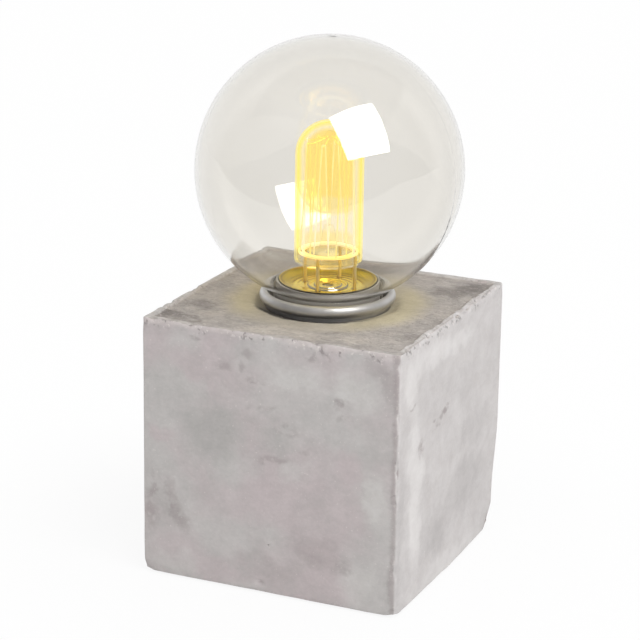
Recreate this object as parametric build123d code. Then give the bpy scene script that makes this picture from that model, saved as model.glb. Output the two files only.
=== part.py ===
from build123d import *
from math import cos, radians, sin, sqrt
import os

# Concrete table lamp lit from batteries. A collar is set in the top of a cast cube, a
# glass globe stands in the collar and a filament lamp stands inside the globe.
# Millimetres, +Z up, front towards -Y. The origin is on the table under the middle.

# Concrete block
BLOCK_WIDTH = 128.0
BLOCK_HEIGHT = 125.0
BLOCK_CORNER_RADIUS = 3.0
BLOCK_BOTTOM_RADIUS = 2.5
BLOCK_TOP_RADIUS = 1.5
LIP_WIDTH = 5.0
LIP_HEIGHT = 1.0
LIP_SLOPE = 45.0
BLOCK_WALL = 18.0
CAVITY_CHAMFER = 14.0
CAVITY_DRAFT = 1.5
SLAB_THICKNESS = 22.0

# Soft pads under the block
PAD_DIAMETER = 7.0
PAD_HEIGHT = 1.0
PAD_EDGE = 0.5

# Collar
COLLAR_DIAMETER = 64.0
COLLAR_BEAD_WIDTH = 4.0
COLLAR_WALL = 1.2
COLLAR_BEAD_HEIGHT = 5.8
COLLAR_ROLL = 1.6
COLLAR_SHELF_DEPTH = 0.8
CUP_LEDGE = 1.7
CUP_DEPTH = 11.0
UPSTAND_WALL = 0.8
UPSTAND_GAP = 1.2
UPSTAND_DROP = 0.5
COLLAR_GAP = 0.6

# Globe and its gasket
GLOBE_DIAMETER = 125.0
GLOBE_WALL = 1.5
GLOBE_LIP_WALL = 1.7
GLOBE_LIP_GAP = 0.6
GLOBE_BEAD_GAP = 1.0
GLOBE_NECK_RADIUS = 1.0
GASKET_HEIGHT = 2.2
GASKET_GAP = 0.2
GASKET_OVERLAP = 0.6

# Reflector dish
DISH_RISE = 6.4
DISH_THICKNESS = 0.8
DISH_FLOOR_DIAMETER = 34.0
DISH_DEPTH = 3.3
DISH_GAP = 0.6
DISH_RIB_PITCH = 3.0
DISH_RIB_WIDTH = 1.6
DISH_RIB_HEIGHT = 0.6
DISH_HOLE_GAP = 0.6

# Filament lamp
FINE_WIRE_SIDES = 6
TUBE_DIAMETER = 32.0
TUBE_WALL = 1.0
TUBE_LENGTH = 66.0
LAMP_STANDOFF = 12.3
FOOT_FLANGE = 1.0
FOOT_SPIGOT = 2.0
FOOT_GAP = 0.1
EXHAUST_DIAMETER = 4.6
STEM_DIAMETER = 10.0
STEM_TIP_DIAMETER = 4.8
STEM_HEIGHT = 14.0
ROD_DIAMETER = 2.0
BUTTON_DIAMETER = 5.2
BUTTON_TOP_GAP = 4.0
RING_STANDOFF = 1.0
RING_HEIGHT = 1.0
RING_WIDTH = 1.0
RING_TUBE_GAP = 0.9
RING_SPACING = 1.8
HAIRPIN_COUNT = 8
HAIRPIN_DIAMETER = 0.7
HAIRPIN_BEND = 0.8
HAIRPIN_TOP_DIAMETER = 22.0
HAIRPIN_RISE = 6.5
HAIRPIN_SPREAD = 15.0
HAIRPIN_TURN = 9.0
HAIRPIN_WELD_GAP = 0.05
HOOK_DIAMETER = 0.5
HOOK_GAP = 0.05
HOOK_OVERHANG = 1.2
HOOK_BEND = 1.2
PIN_DIAMETER = 1.6
PIN_DEPTH = 11.0
PIN_GAP = 0.05
SLEEVE_WALL = 0.65
SLEEVE_RECESS = 0.2

# Socket and the threaded rod that clamps it
SOCKET_CHAMFER = 1.0
SOCKET_CHAMBER_WALL = 1.0
SOCKET_CHANNEL_GAP = 0.4
NIPPLE_DIAMETER = 10.0
NIPPLE_WALL = 1.4
NIPPLE_IN_SOCKET = 8.0
NIPPLE_GAP = 0.1
NIPPLE_HOLE_GAP = 0.5
NIPPLE_TAIL = 3.0
WASHER_DIAMETER = 24.0
WASHER_THICKNESS = 2.0
NUT_ACROSS_FLATS = 16.0
NUT_HEIGHT = 5.0

# Tray that closes the block from below
TRAY_LEDGE = 4.5
TRAY_GAP = 0.5
TRAY_THICKNESS = 2.5
TRAY_INSET = 1.5
TRAY_CORNER_RADIUS = 4.0
TRAY_SCREW_EDGE = 7.0
SCREW_DIAMETER = 3.0
SCREW_HEAD_DIAMETER = 6.0
SCREW_HEAD_HEIGHT = 1.3
SCREW_LENGTH = 14.0
SCREW_GAP = 0.05
SCREW_HOLE_GAP = 0.25
PLUG_DIAMETER = 6.0
PLUG_LENGTH = 18.0
PLUG_GAP = 0.05

# Cells, their well and their contacts
CELL_COUNT = 3
CELL_DIAMETER = 14.5
CELL_BODY_LENGTH = 49.0
CELL_NUB_DIAMETER = 5.4
CELL_NUB_LENGTH = 1.5
CELL_SPACING = 0.7
CELL_SIDE_GAP = 0.5
CELL_END_GAP = 0.15
CELL_TOP_GAP = 0.4
CELL_DOOR_GAP = 0.4
WELL_WALL = 1.8
WELL_SIDE_GAP = 5.0
CONTACT_THICKNESS = 0.5
CONTACT_WIDTH = 11.0
CONTACT_GAP = 0.6
SPRING_REACH = 5.0
SPRING_WIDTH = 6.0
SPRING_HEIGHT = 9.0
TAB_WIDTH = 3.0
TAB_HEIGHT = 2.6
TAB_GAP = 0.3

# Battery door
DOOR_THICKNESS = 2.0
DOOR_GAP = 0.4
BARREL_DIAMETER = 2.8
HINGE_PIN_DIAMETER = 1.8
HINGE_PIN_LENGTH = 1.3
HINGE_GAP = 0.05
DOOR_RIB_WIDTH = 1.2
DOOR_RIB_HEIGHT = 0.8
LATCH_WIDTH = 8.0
LATCH_THICKNESS = 1.0
LATCH_HEIGHT = 1.4
LATCH_BEAD = 0.25
FINGER_NOTCH_DIAMETER = 14.0
FINGER_NOTCH_DEPTH = 1.2

# Driver board and slide switch
BOARD_WIDTH = 22.0
BOARD_LENGTH = 46.0
BOARD_THICKNESS = 1.6
BOARD_STANDOFF = 5.0
BOARD_SCREW_EDGE = 4.0
BOARD_SCREW_DIAMETER = 2.2
BOARD_SCREW_LENGTH = 5.5
BOARD_SCREW_HEAD = 4.2
BOSS_DIAMETER = 5.2
SWITCH_WIDTH = 6.0
SWITCH_LENGTH = 12.0
SWITCH_FLOOR_GAP = 0.2
SWITCH_Y = -6.0
SLIDER_WIDTH = 3.0
SLIDER_LENGTH = 4.0
SLIDER_TRAVEL = 4.0
SLIDER_GAP = 0.2
SLIDER_DEPTH = 2.8
SLIDER_REACH = 1.0

# Wires
WIRE_DIAMETER = 1.6
LEAD_DIAMETER = 1.4
WIRE_SPACING = 2.8
WIRE_TOP_BEND = 2.0
WIRE_BEND = 8.0
LEAD_BEND = 4.0
WIRE_TURN = 45.0
WIRE_LAYER = 5.0
WIRE_PAD_Y = 12.0
WIRE_PAD_X = 3.0
LEAD_PAD_X = 6.0

# Heights from the table upwards
BLOCK_BOTTOM = PAD_HEIGHT
BLOCK_TOP = BLOCK_BOTTOM + BLOCK_HEIGHT
SEAT_Z = BLOCK_TOP - LIP_HEIGHT
SHELF_Z = SEAT_Z - COLLAR_SHELF_DEPTH
CUP_FLOOR_Z = SHELF_Z - CUP_DEPTH
CUP_BOTTOM = CUP_FLOOR_Z - COLLAR_WALL
BORE_FLOOR_Z = CUP_BOTTOM - COLLAR_GAP
CEILING_Z = BORE_FLOOR_Z - SLAB_THICKNESS
TRAY_BOTTOM = BLOCK_BOTTOM + TRAY_INSET
TRAY_TOP = TRAY_BOTTOM + TRAY_THICKNESS
HINGE_Z = TRAY_BOTTOM + BARREL_DIAMETER / 2
CELL_Z = TRAY_BOTTOM + BARREL_DIAMETER + CELL_DOOR_GAP + CELL_DIAMETER / 2
WELL_CEILING_Z = CELL_Z + CELL_DIAMETER / 2 + CELL_TOP_GAP
WELL_TOP = WELL_CEILING_Z + WELL_WALL
BOARD_BOTTOM = TRAY_TOP + BOARD_STANDOFF
BOARD_TOP = BOARD_BOTTOM + BOARD_THICKNESS
LEAD_Z = WELL_TOP + TAB_HEIGHT / 2
BEAD_TOP = SEAT_Z + COLLAR_BEAD_HEIGHT
GLOBE_LIP_BOTTOM = SHELF_Z + GASKET_HEIGHT
GLOBE_NECK_Z = BEAD_TOP + GLOBE_BEAD_GAP
DISH_BOTTOM = SEAT_Z + DISH_RISE
DISH_TOP = DISH_BOTTOM + DISH_THICKNESS
DISH_RIM_Z = DISH_TOP + DISH_DEPTH
UPSTAND_TOP = DISH_RIM_Z - UPSTAND_DROP
FOOT_BOTTOM = DISH_TOP + LAMP_STANDOFF
TUBE_BOTTOM = FOOT_BOTTOM + FOOT_FLANGE
FOOT_TOP = TUBE_BOTTOM + FOOT_SPIGOT
RING_BOTTOM = FOOT_TOP + RING_STANDOFF
RING_TOP = RING_BOTTOM + RING_HEIGHT
STEM_TOP = FOOT_TOP + STEM_HEIGHT
DOME_Z = TUBE_BOTTOM + TUBE_LENGTH - TUBE_DIAMETER / 2
APEX_Z = DOME_Z + HAIRPIN_RISE
BUTTON_Z = TUBE_BOTTOM + TUBE_LENGTH - TUBE_WALL - BUTTON_TOP_GAP - BUTTON_DIAMETER / 2
NIPPLE_TOP = CUP_FLOOR_Z + NIPPLE_IN_SOCKET
NUT_TOP = CEILING_Z - WASHER_THICKNESS
NIPPLE_BOTTOM = NUT_TOP - NUT_HEIGHT - NIPPLE_TAIL
CHANNEL_Z = NIPPLE_TOP + WIRE_TOP_BEND

# Radii and places in plan
GLOBE_RADIUS = GLOBE_DIAMETER / 2
COLLAR_BORE = COLLAR_DIAMETER / 2 - COLLAR_BEAD_WIDTH
LIP_OUTER = COLLAR_BORE - GLOBE_LIP_GAP
LIP_INNER = LIP_OUTER - GLOBE_LIP_WALL
GLOBE_Z = GLOBE_NECK_Z + sqrt(GLOBE_RADIUS**2 - LIP_OUTER**2)
TUBE_INNER = TUBE_DIAMETER / 2 - TUBE_WALL
OUTER_RING = TUBE_INNER - RING_TUBE_GAP - RING_WIDTH / 2
INNER_RING = OUTER_RING - RING_SPACING
UPSTAND_OUTER = LIP_INNER - UPSTAND_GAP
UPSTAND_INNER = UPSTAND_OUTER - UPSTAND_WALL
CUP_BORE = UPSTAND_INNER - CUP_LEDGE
DISH_RIM = UPSTAND_INNER - DISH_GAP
DISH_FLOOR = DISH_FLOOR_DIAMETER / 2
PIN_PLACES = ((OUTER_RING, 0), (OUTER_RING, 90), (INNER_RING, 180), (INNER_RING, 270))
PIN_HOLE = PIN_DIAMETER / 2 + PIN_GAP
SLEEVE_RADIUS = PIN_HOLE + SLEEVE_WALL
CAVITY_WIDTH = BLOCK_WIDTH - 2 * BLOCK_WALL
REBATE_WIDTH = CAVITY_WIDTH + 2 * TRAY_LEDGE
TRAY_WIDTH = REBATE_WIDTH - 2 * TRAY_GAP
PAD_PLACE = REBATE_WIDTH / 2 + PAD_EDGE + PAD_DIAMETER / 2
SCREW_PLACE = TRAY_WIDTH / 2 - TRAY_SCREW_EDGE
CELL_PITCH = CELL_DIAMETER + CELL_SPACING
CELL_LENGTH = CELL_BODY_LENGTH + CELL_NUB_LENGTH
WELL_WIDTH = (CELL_COUNT - 1) * CELL_PITCH + CELL_DIAMETER + 2 * CELL_SIDE_GAP
WELL_LENGTH = CELL_LENGTH + SPRING_REACH + 2 * CONTACT_THICKNESS + 2 * CELL_END_GAP
WELL_X = CAVITY_WIDTH / 2 - WELL_SIDE_GAP - WELL_WALL - WELL_WIDTH / 2
WELL_LEFT = WELL_X - WELL_WIDTH / 2 - WELL_WALL
CELL_X = [WELL_X + (i - (CELL_COUNT - 1) / 2) * CELL_PITCH for i in range(CELL_COUNT)]
HINGE_Y = WELL_LENGTH / 2 - DOOR_GAP - BARREL_DIAMETER / 2
CONTACT_BOTTOM = HINGE_Z + BARREL_DIAMETER / 2 + CONTACT_GAP
CONTACT_Y = WELL_LENGTH / 2 - CONTACT_THICKNESS / 2
BOARD_X = (WELL_LEFT - CAVITY_WIDTH / 2) / 2
BOARD_SCREW_Y = BOARD_LENGTH / 2 - BOARD_SCREW_EDGE
SLIDER_SLOT = SLIDER_LENGTH + SLIDER_TRAVEL + 2 * SLIDER_GAP


def turned(profile):
    """Turn a face drawn as (radius, height) about the vertical axis."""
    return revolve(Plane.XZ * profile, Axis.Z)


def turned_outline(*points):
    """Turn a straight-sided outline of (radius, height) points."""
    return turned(make_face(Polyline(*points, close=True)))


def pillar(radius, bottom, top, x=0.0, y=0.0):
    """Upright cylinder between two heights."""
    return Pos(x, y, (bottom + top) / 2) * Cylinder(radius, top - bottom)


def slab(width, length, bottom, top, x=0.0, y=0.0):
    """Upright block between two heights."""
    return Pos(x, y, (bottom + top) / 2) * Box(width, length, top - bottom)


def polar(radius, angle, height):
    """Point at a radius and an angle in degrees."""
    return Vector(radius * cos(radians(angle)), radius * sin(radians(angle)), height)


def tube_along(path, radius):
    """Round wire along a path."""
    start = Plane(origin=path @ 0, z_dir=path % 0)
    return sweep(start * Circle(radius), path=path)


def fine_wire(path, radius):
    """Drawn wire with flat sides along a path."""
    start = Plane(origin=path @ 0, z_dir=path % 0)
    return sweep(start * RegularPolygon(radius, FINE_WIRE_SIDES), path=path)


def group(solids):
    """Separate solids kept together as one piece of the list."""
    return Compound(children=list(solids))


def corners(distance):
    """Four places at the corners of a square about the middle."""
    return GridLocations(2 * distance, 2 * distance, 2, 2)


def concrete_block():
    block = slab(BLOCK_WIDTH, BLOCK_WIDTH, BLOCK_BOTTOM, BLOCK_TOP)
    block = fillet(block.edges().filter_by(Axis.Z), BLOCK_CORNER_RADIUS)
    block = fillet(block.edges().group_by(Axis.Z)[0], BLOCK_BOTTOM_RADIUS)
    block = fillet(block.edges().group_by(Axis.Z)[-1], BLOCK_TOP_RADIUS)
    dish_width = BLOCK_WIDTH - 2 * LIP_WIDTH
    dish = Pos(0, 0, SEAT_Z) * RectangleRounded(dish_width, dish_width, BLOCK_CORNER_RADIUS)
    block -= extrude(dish, LIP_HEIGHT, taper=-LIP_SLOPE)
    block -= pillar(COLLAR_BORE + COLLAR_WALL + COLLAR_GAP, SHELF_Z - COLLAR_WALL - COLLAR_GAP, SEAT_Z)
    block -= pillar(CUP_BORE + COLLAR_WALL + COLLAR_GAP, BORE_FLOOR_Z, SEAT_Z)
    block -= pillar(NIPPLE_DIAMETER / 2 + NIPPLE_HOLE_GAP, CEILING_Z, BORE_FLOOR_Z)
    rebate = Pos(0, 0, BLOCK_BOTTOM) * RectangleRounded(REBATE_WIDTH, REBATE_WIDTH, TRAY_CORNER_RADIUS)
    block -= extrude(rebate, TRAY_TOP - BLOCK_BOTTOM)
    mouth = Rectangle(CAVITY_WIDTH, CAVITY_WIDTH)
    mouth = chamfer(mouth.vertices(), CAVITY_CHAMFER)
    block -= extrude(Pos(0, 0, TRAY_TOP) * mouth, CEILING_Z - TRAY_TOP, taper=CAVITY_DRAFT)
    plug_hole = pillar(PLUG_DIAMETER / 2 + PLUG_GAP, TRAY_TOP, TRAY_TOP + PLUG_LENGTH)
    return block - corners(SCREW_PLACE) * plug_hole


def foot_pads():
    return group(corners(PAD_PLACE) * pillar(PAD_DIAMETER / 2, 0, PAD_HEIGHT))


def collar():
    skin = COLLAR_BORE + COLLAR_WALL
    crown = COLLAR_BORE + COLLAR_ROLL
    side = SEAT_Z + COLLAR_BEAD_HEIGHT / 2
    inside = Polyline(
        (COLLAR_BORE, BEAD_TOP - COLLAR_ROLL),
        (COLLAR_BORE, SHELF_Z),
        (UPSTAND_OUTER, SHELF_Z),
        (UPSTAND_OUTER, UPSTAND_TOP),
        (UPSTAND_INNER, UPSTAND_TOP),
        (UPSTAND_INNER, SHELF_Z),
        (CUP_BORE, SHELF_Z),
        (CUP_BORE, CUP_FLOOR_Z),
        (NIPPLE_DIAMETER / 2 + NIPPLE_GAP, CUP_FLOOR_Z),
        (NIPPLE_DIAMETER / 2 + NIPPLE_GAP, CUP_BOTTOM),
        (CUP_BORE + COLLAR_WALL, CUP_BOTTOM),
        (CUP_BORE + COLLAR_WALL, SHELF_Z - COLLAR_WALL),
        (skin, SHELF_Z - COLLAR_WALL),
        (skin, SEAT_Z),
    )
    half_height = COLLAR_BEAD_HEIGHT / 2
    lower = EllipticalCenterArc((skin, side), COLLAR_DIAMETER / 2 - skin, half_height, 270, arc_size=90)
    upper = EllipticalCenterArc((crown, side), COLLAR_DIAMETER / 2 - crown, half_height, 0, arc_size=90)
    roll = CenterArc((crown, BEAD_TOP - COLLAR_ROLL), COLLAR_ROLL, 90, 90)
    return turned(make_face(inside + lower + upper + roll))


def globe_gasket():
    inner = LIP_INNER - GASKET_OVERLAP
    outer = COLLAR_BORE - GASKET_GAP
    return turned_outline(
        (inner, SHELF_Z),
        (outer, SHELF_Z),
        (outer, GLOBE_LIP_BOTTOM),
        (inner, GLOBE_LIP_BOTTOM),
    )


def globe():
    inner_radius = GLOBE_RADIUS - GLOBE_WALL
    inner_neck = GLOBE_Z - sqrt(inner_radius**2 - LIP_INNER**2)
    outer_arc = ThreePointArc(
        (LIP_OUTER, GLOBE_NECK_Z), (GLOBE_RADIUS, GLOBE_Z), (0, GLOBE_Z + GLOBE_RADIUS)
    )
    inner_arc = ThreePointArc(
        (0, GLOBE_Z + inner_radius), (inner_radius, GLOBE_Z), (LIP_INNER, inner_neck)
    )
    lip = Polyline(
        (LIP_INNER, inner_neck),
        (LIP_INNER, GLOBE_LIP_BOTTOM),
        (LIP_OUTER, GLOBE_LIP_BOTTOM),
        (LIP_OUTER, GLOBE_NECK_Z),
    )
    pole = Line((0, GLOBE_Z + GLOBE_RADIUS), (0, GLOBE_Z + inner_radius))
    section = make_face(lip + outer_arc + pole + inner_arc)
    neck = [v for v in section.vertices() if GLOBE_LIP_BOTTOM < v.Y < GLOBE_Z]
    return turned(fillet(neck, GLOBE_NECK_RADIUS))


def reflector_dish():
    hole = EXHAUST_DIAMETER / 2 + DISH_HOLE_GAP
    lip = DISH_RIM - DISH_THICKNESS
    depth = DISH_RIM_Z - DISH_BOTTOM
    under = EllipticalCenterArc((DISH_FLOOR, DISH_RIM_Z), DISH_RIM - DISH_FLOOR, depth, 270, arc_size=90)
    over = EllipticalCenterArc((DISH_FLOOR, DISH_RIM_Z), lip - DISH_FLOOR, DISH_DEPTH, 270, arc_size=90)
    middle_edge = Polyline(
        (DISH_FLOOR, DISH_TOP), (hole, DISH_TOP), (hole, DISH_BOTTOM), (DISH_FLOOR, DISH_BOTTOM)
    )
    rim_edge = Line((DISH_RIM, DISH_RIM_Z), (lip, DISH_RIM_Z))
    dish = turned(make_face(middle_edge + under + rim_edge + over))
    for ring in (2, 3):
        middle = ring * DISH_RIB_PITCH
        dish += turned(
            make_face(
                ThreePointArc(
                    (middle - DISH_RIB_WIDTH / 2, DISH_TOP),
                    (middle, DISH_TOP + DISH_RIB_HEIGHT),
                    (middle + DISH_RIB_WIDTH / 2, DISH_TOP),
                )
                + Line(
                    (middle + DISH_RIB_WIDTH / 2, DISH_TOP),
                    (middle - DISH_RIB_WIDTH / 2, DISH_TOP),
                )
            )
        )
    for radius, angle in PIN_PLACES:
        place = polar(radius, angle, 0)
        dish -= pillar(PIN_HOLE + DISH_HOLE_GAP, DISH_BOTTOM, DISH_TOP + DISH_RIB_HEIGHT, place.X, place.Y)
    return dish


def sleeve_bottom():
    return DISH_BOTTOM - SLEEVE_RECESS - PIN_DEPTH


def lamp_socket():
    thread = NIPPLE_DIAMETER / 2 + NIPPLE_GAP
    chamber = thread - SOCKET_CHAMBER_WALL
    chamber_top = CHANNEL_Z + WIRE_DIAMETER
    socket = pillar(DISH_FLOOR, CUP_FLOOR_Z, DISH_BOTTOM)
    socket = chamfer(socket.edges().group_by(Axis.Z)[0], SOCKET_CHAMFER)
    socket -= pillar(thread, CUP_FLOOR_Z, NIPPLE_TOP)
    socket -= pillar(chamber, NIPPLE_TOP, chamber_top)
    socket -= pillar(EXHAUST_DIAMETER / 2 + DISH_HOLE_GAP, chamber_top, DISH_BOTTOM)
    for radius, angle in PIN_PLACES:
        place = polar(radius, angle, 0)
        socket -= pillar(SLEEVE_RADIUS + PIN_GAP, sleeve_bottom(), DISH_BOTTOM, place.X, place.Y)
    channel = Circle(WIRE_DIAMETER / 2 + SOCKET_CHANNEL_GAP)
    socket -= extrude(Plane.YZ * Pos(0, CHANNEL_Z) * channel, OUTER_RING)
    return socket - extrude(Plane.YZ * Pos(0, CHANNEL_Z) * channel, -INNER_RING)


def pin_sleeves():
    top = DISH_BOTTOM - SLEEVE_RECESS
    sleeve = pillar(SLEEVE_RADIUS, sleeve_bottom(), top) - pillar(PIN_HOLE, sleeve_bottom(), top)
    return group(Location(polar(radius, angle, 0)) * sleeve for radius, angle in PIN_PLACES)


def lamp_pins():
    pin = pillar(PIN_DIAMETER / 2, sleeve_bottom(), RING_BOTTOM)
    return group(Location(polar(radius, angle, 0)) * pin for radius, angle in PIN_PLACES)


def lamp_foot():
    foot = turned_outline(
        (0, DISH_BOTTOM),
        (EXHAUST_DIAMETER / 2, DISH_BOTTOM),
        (EXHAUST_DIAMETER / 2, FOOT_BOTTOM),
        (TUBE_DIAMETER / 2, FOOT_BOTTOM),
        (TUBE_DIAMETER / 2, TUBE_BOTTOM),
        (TUBE_INNER - FOOT_GAP, TUBE_BOTTOM),
        (TUBE_INNER - FOOT_GAP, FOOT_TOP),
        (STEM_DIAMETER / 2, FOOT_TOP),
        (STEM_TIP_DIAMETER / 2, STEM_TOP),
        (0, STEM_TOP),
    )
    for radius, angle in PIN_PLACES:
        place = polar(radius, angle, 0)
        foot -= pillar(PIN_HOLE, FOOT_BOTTOM, FOOT_TOP, place.X, place.Y)
    return foot


def support_rod():
    rod = pillar(ROD_DIAMETER / 2, STEM_TOP, BUTTON_Z)
    return rod + Pos(0, 0, BUTTON_Z) * Sphere(BUTTON_DIAMETER / 2)


def lamp_tube():
    outer = TUBE_DIAMETER / 2
    slope = sqrt(0.5)
    wall = Polyline((TUBE_INNER, DOME_Z), (TUBE_INNER, TUBE_BOTTOM), (outer, TUBE_BOTTOM), (outer, DOME_Z))
    outside = ThreePointArc(
        (outer, DOME_Z), (outer * slope, DOME_Z + outer * slope), (0, DOME_Z + outer)
    )
    inside = ThreePointArc(
        (0, DOME_Z + TUBE_INNER), (TUBE_INNER * slope, DOME_Z + TUBE_INNER * slope), (TUBE_INNER, DOME_Z)
    )
    pole = Line((0, DOME_Z + outer), (0, DOME_Z + TUBE_INNER))
    return turned(make_face(wall + outside + pole + inside))


def filament_ring(radius):
    inner = radius - RING_WIDTH / 2
    outer = radius + RING_WIDTH / 2
    return turned_outline(
        (inner, RING_BOTTOM), (outer, RING_BOTTOM), (outer, RING_TOP), (inner, RING_TOP)
    )


def hairpin_angle(index):
    return HAIRPIN_TURN + index * 360 / HAIRPIN_COUNT


def hairpin(angle):
    """One filament: up from the outer ring, round a top hook and down to the inner ring."""
    first = polar(OUTER_RING, angle - HAIRPIN_SPREAD, RING_TOP + HAIRPIN_WELD_GAP)
    last = polar(INNER_RING, angle + HAIRPIN_SPREAD, RING_TOP + HAIRPIN_WELD_GAP)
    middle = (first + last) / 2
    apex = polar(HAIRPIN_TOP_DIAMETER / 2, angle, APEX_Z)
    rise = (apex - middle).length
    half = (last - first).length / 2
    # The legs lean together and would meet above the bend that joins them.
    meeting = (rise - HAIRPIN_BEND) / (1 - HAIRPIN_BEND / half)
    corner = middle + (apex - middle) * (meeting / rise)
    return fine_wire(FilletPolyline(first, corner, last, radius=HAIRPIN_BEND), HAIRPIN_DIAMETER / 2)


def filament_hairpins():
    return group(hairpin(hairpin_angle(i)) for i in range(HAIRPIN_COUNT))


def top_hook(angle):
    """Wire from the button out to the bend of one hairpin."""
    end_z = APEX_Z - (HAIRPIN_DIAMETER + HOOK_DIAMETER) / 2 - HOOK_GAP
    reach = HAIRPIN_TOP_DIAMETER / 2
    middle = Vector(0, 0, BUTTON_Z)
    knee = polar(reach - 2 * HOOK_BEND, angle, end_z)
    root = middle + (knee - middle).normalized() * (BUTTON_DIAMETER / 2)
    tip = polar(reach + HOOK_OVERHANG, angle, end_z)
    return fine_wire(FilletPolyline(root, knee, tip, radius=HOOK_BEND), HOOK_DIAMETER / 2)


def top_hooks():
    return group(top_hook(hairpin_angle(i)) for i in range(HAIRPIN_COUNT))


def threaded_nipple():
    outer = NIPPLE_DIAMETER / 2
    return pillar(outer, NIPPLE_BOTTOM, NIPPLE_TOP) - pillar(outer - NIPPLE_WALL, NIPPLE_BOTTOM, NIPPLE_TOP)


def nipple_washer():
    hole = NIPPLE_DIAMETER / 2 + NIPPLE_GAP
    return pillar(WASHER_DIAMETER / 2, NUT_TOP, CEILING_Z) - pillar(hole, NUT_TOP, CEILING_Z)


def nipple_nut():
    hexagon = RegularPolygon(NUT_ACROSS_FLATS / 2, 6, major_radius=False)
    nut = extrude(Pos(0, 0, NUT_TOP - NUT_HEIGHT) * hexagon, NUT_HEIGHT)
    return nut - pillar(NIPPLE_DIAMETER / 2 + NIPPLE_GAP, NUT_TOP - NUT_HEIGHT, NUT_TOP)


def lamp_wire(side, ring, turn_z):
    """Wire from a pin sleeve down through the threaded rod to the driver board."""
    x = side * WIRE_SPACING / 2
    sleeve_side = side * (ring - SLEEVE_RADIUS)
    pad_x = BOARD_X + side * WIRE_PAD_X
    top = FilletPolyline(
        (sleeve_side, 0, CHANNEL_Z), (x, 0, CHANNEL_Z), (x, 0, NIPPLE_BOTTOM), radius=WIRE_TOP_BEND
    )
    lower = FilletPolyline(
        (x, 0, NIPPLE_BOTTOM),
        (x, 0, turn_z),
        (pad_x, WIRE_PAD_Y, turn_z),
        (pad_x, WIRE_PAD_Y, BOARD_TOP),
        radius=WIRE_BEND,
    )
    return tube_along(top, WIRE_DIAMETER / 2) + tube_along(lower, WIRE_DIAMETER / 2)


def base_tray():
    plate = extrude(
        Pos(0, 0, TRAY_BOTTOM) * RectangleRounded(TRAY_WIDTH, TRAY_WIDTH, TRAY_CORNER_RADIUS),
        TRAY_THICKNESS,
    )
    well_outer = (WELL_WIDTH + 2 * WELL_WALL, WELL_LENGTH + 2 * WELL_WALL)
    tray = plate + slab(*well_outer, TRAY_TOP, WELL_TOP, WELL_X)
    tray -= slab(WELL_WIDTH, WELL_LENGTH, TRAY_BOTTOM, WELL_CEILING_Z, WELL_X)
    for x, y in ((CELL_X[0], -CONTACT_Y), (CELL_X[-1], CONTACT_Y)):
        tray -= slab(TAB_WIDTH + 2 * TAB_GAP, CONTACT_THICKNESS + 2 * TAB_GAP, WELL_CEILING_Z, WELL_TOP, x, y)
    hinge_width = WELL_WIDTH + 2 * (HINGE_PIN_LENGTH - DOOR_GAP + HINGE_GAP)
    tray -= Pos(WELL_X, HINGE_Y, HINGE_Z) * Rot(0, 90, 0) * Cylinder(
        HINGE_PIN_DIAMETER / 2 + HINGE_GAP, hinge_width
    )
    notch_top = TRAY_BOTTOM + FINGER_NOTCH_DEPTH
    tray -= pillar(FINGER_NOTCH_DIAMETER / 2, TRAY_BOTTOM, notch_top, WELL_X, -WELL_LENGTH / 2)
    for y in (-BOARD_SCREW_Y, BOARD_SCREW_Y):
        tray += pillar(BOSS_DIAMETER / 2, TRAY_TOP, BOARD_BOTTOM, BOARD_X, y)
        tray -= pillar(BOARD_SCREW_DIAMETER / 2 + SCREW_GAP, TRAY_TOP, BOARD_BOTTOM, BOARD_X, y)
    tray -= slab(SLIDER_WIDTH + 2 * SLIDER_GAP, SLIDER_SLOT, TRAY_BOTTOM, TRAY_TOP, BOARD_X, SWITCH_Y)
    screw_hole = pillar(SCREW_DIAMETER / 2 + SCREW_HOLE_GAP, TRAY_BOTTOM, TRAY_TOP)
    return tray - corners(SCREW_PLACE) * screw_hole


def tray_screws():
    head_bottom = TRAY_BOTTOM - SCREW_HEAD_HEIGHT
    screw = pillar(SCREW_HEAD_DIAMETER / 2, head_bottom, TRAY_BOTTOM)
    screw = chamfer(screw.edges().group_by(Axis.Z)[0], SCREW_HEAD_HEIGHT / 3)
    screw += pillar(SCREW_DIAMETER / 2, TRAY_BOTTOM, TRAY_BOTTOM + SCREW_LENGTH)
    slot_top = head_bottom + SCREW_HEAD_HEIGHT / 2
    arm = SCREW_HEAD_DIAMETER / 2
    screw -= slab(arm, arm / 5, head_bottom, slot_top)
    screw -= slab(arm / 5, arm, head_bottom, slot_top)
    return group(corners(SCREW_PLACE) * screw)


def screw_plugs():
    plug = pillar(PLUG_DIAMETER / 2, TRAY_TOP, TRAY_TOP + PLUG_LENGTH)
    plug -= pillar(SCREW_DIAMETER / 2 + SCREW_GAP, TRAY_TOP, TRAY_BOTTOM + SCREW_LENGTH + SCREW_HEAD_HEIGHT)
    return group(corners(SCREW_PLACE) * plug)


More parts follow.
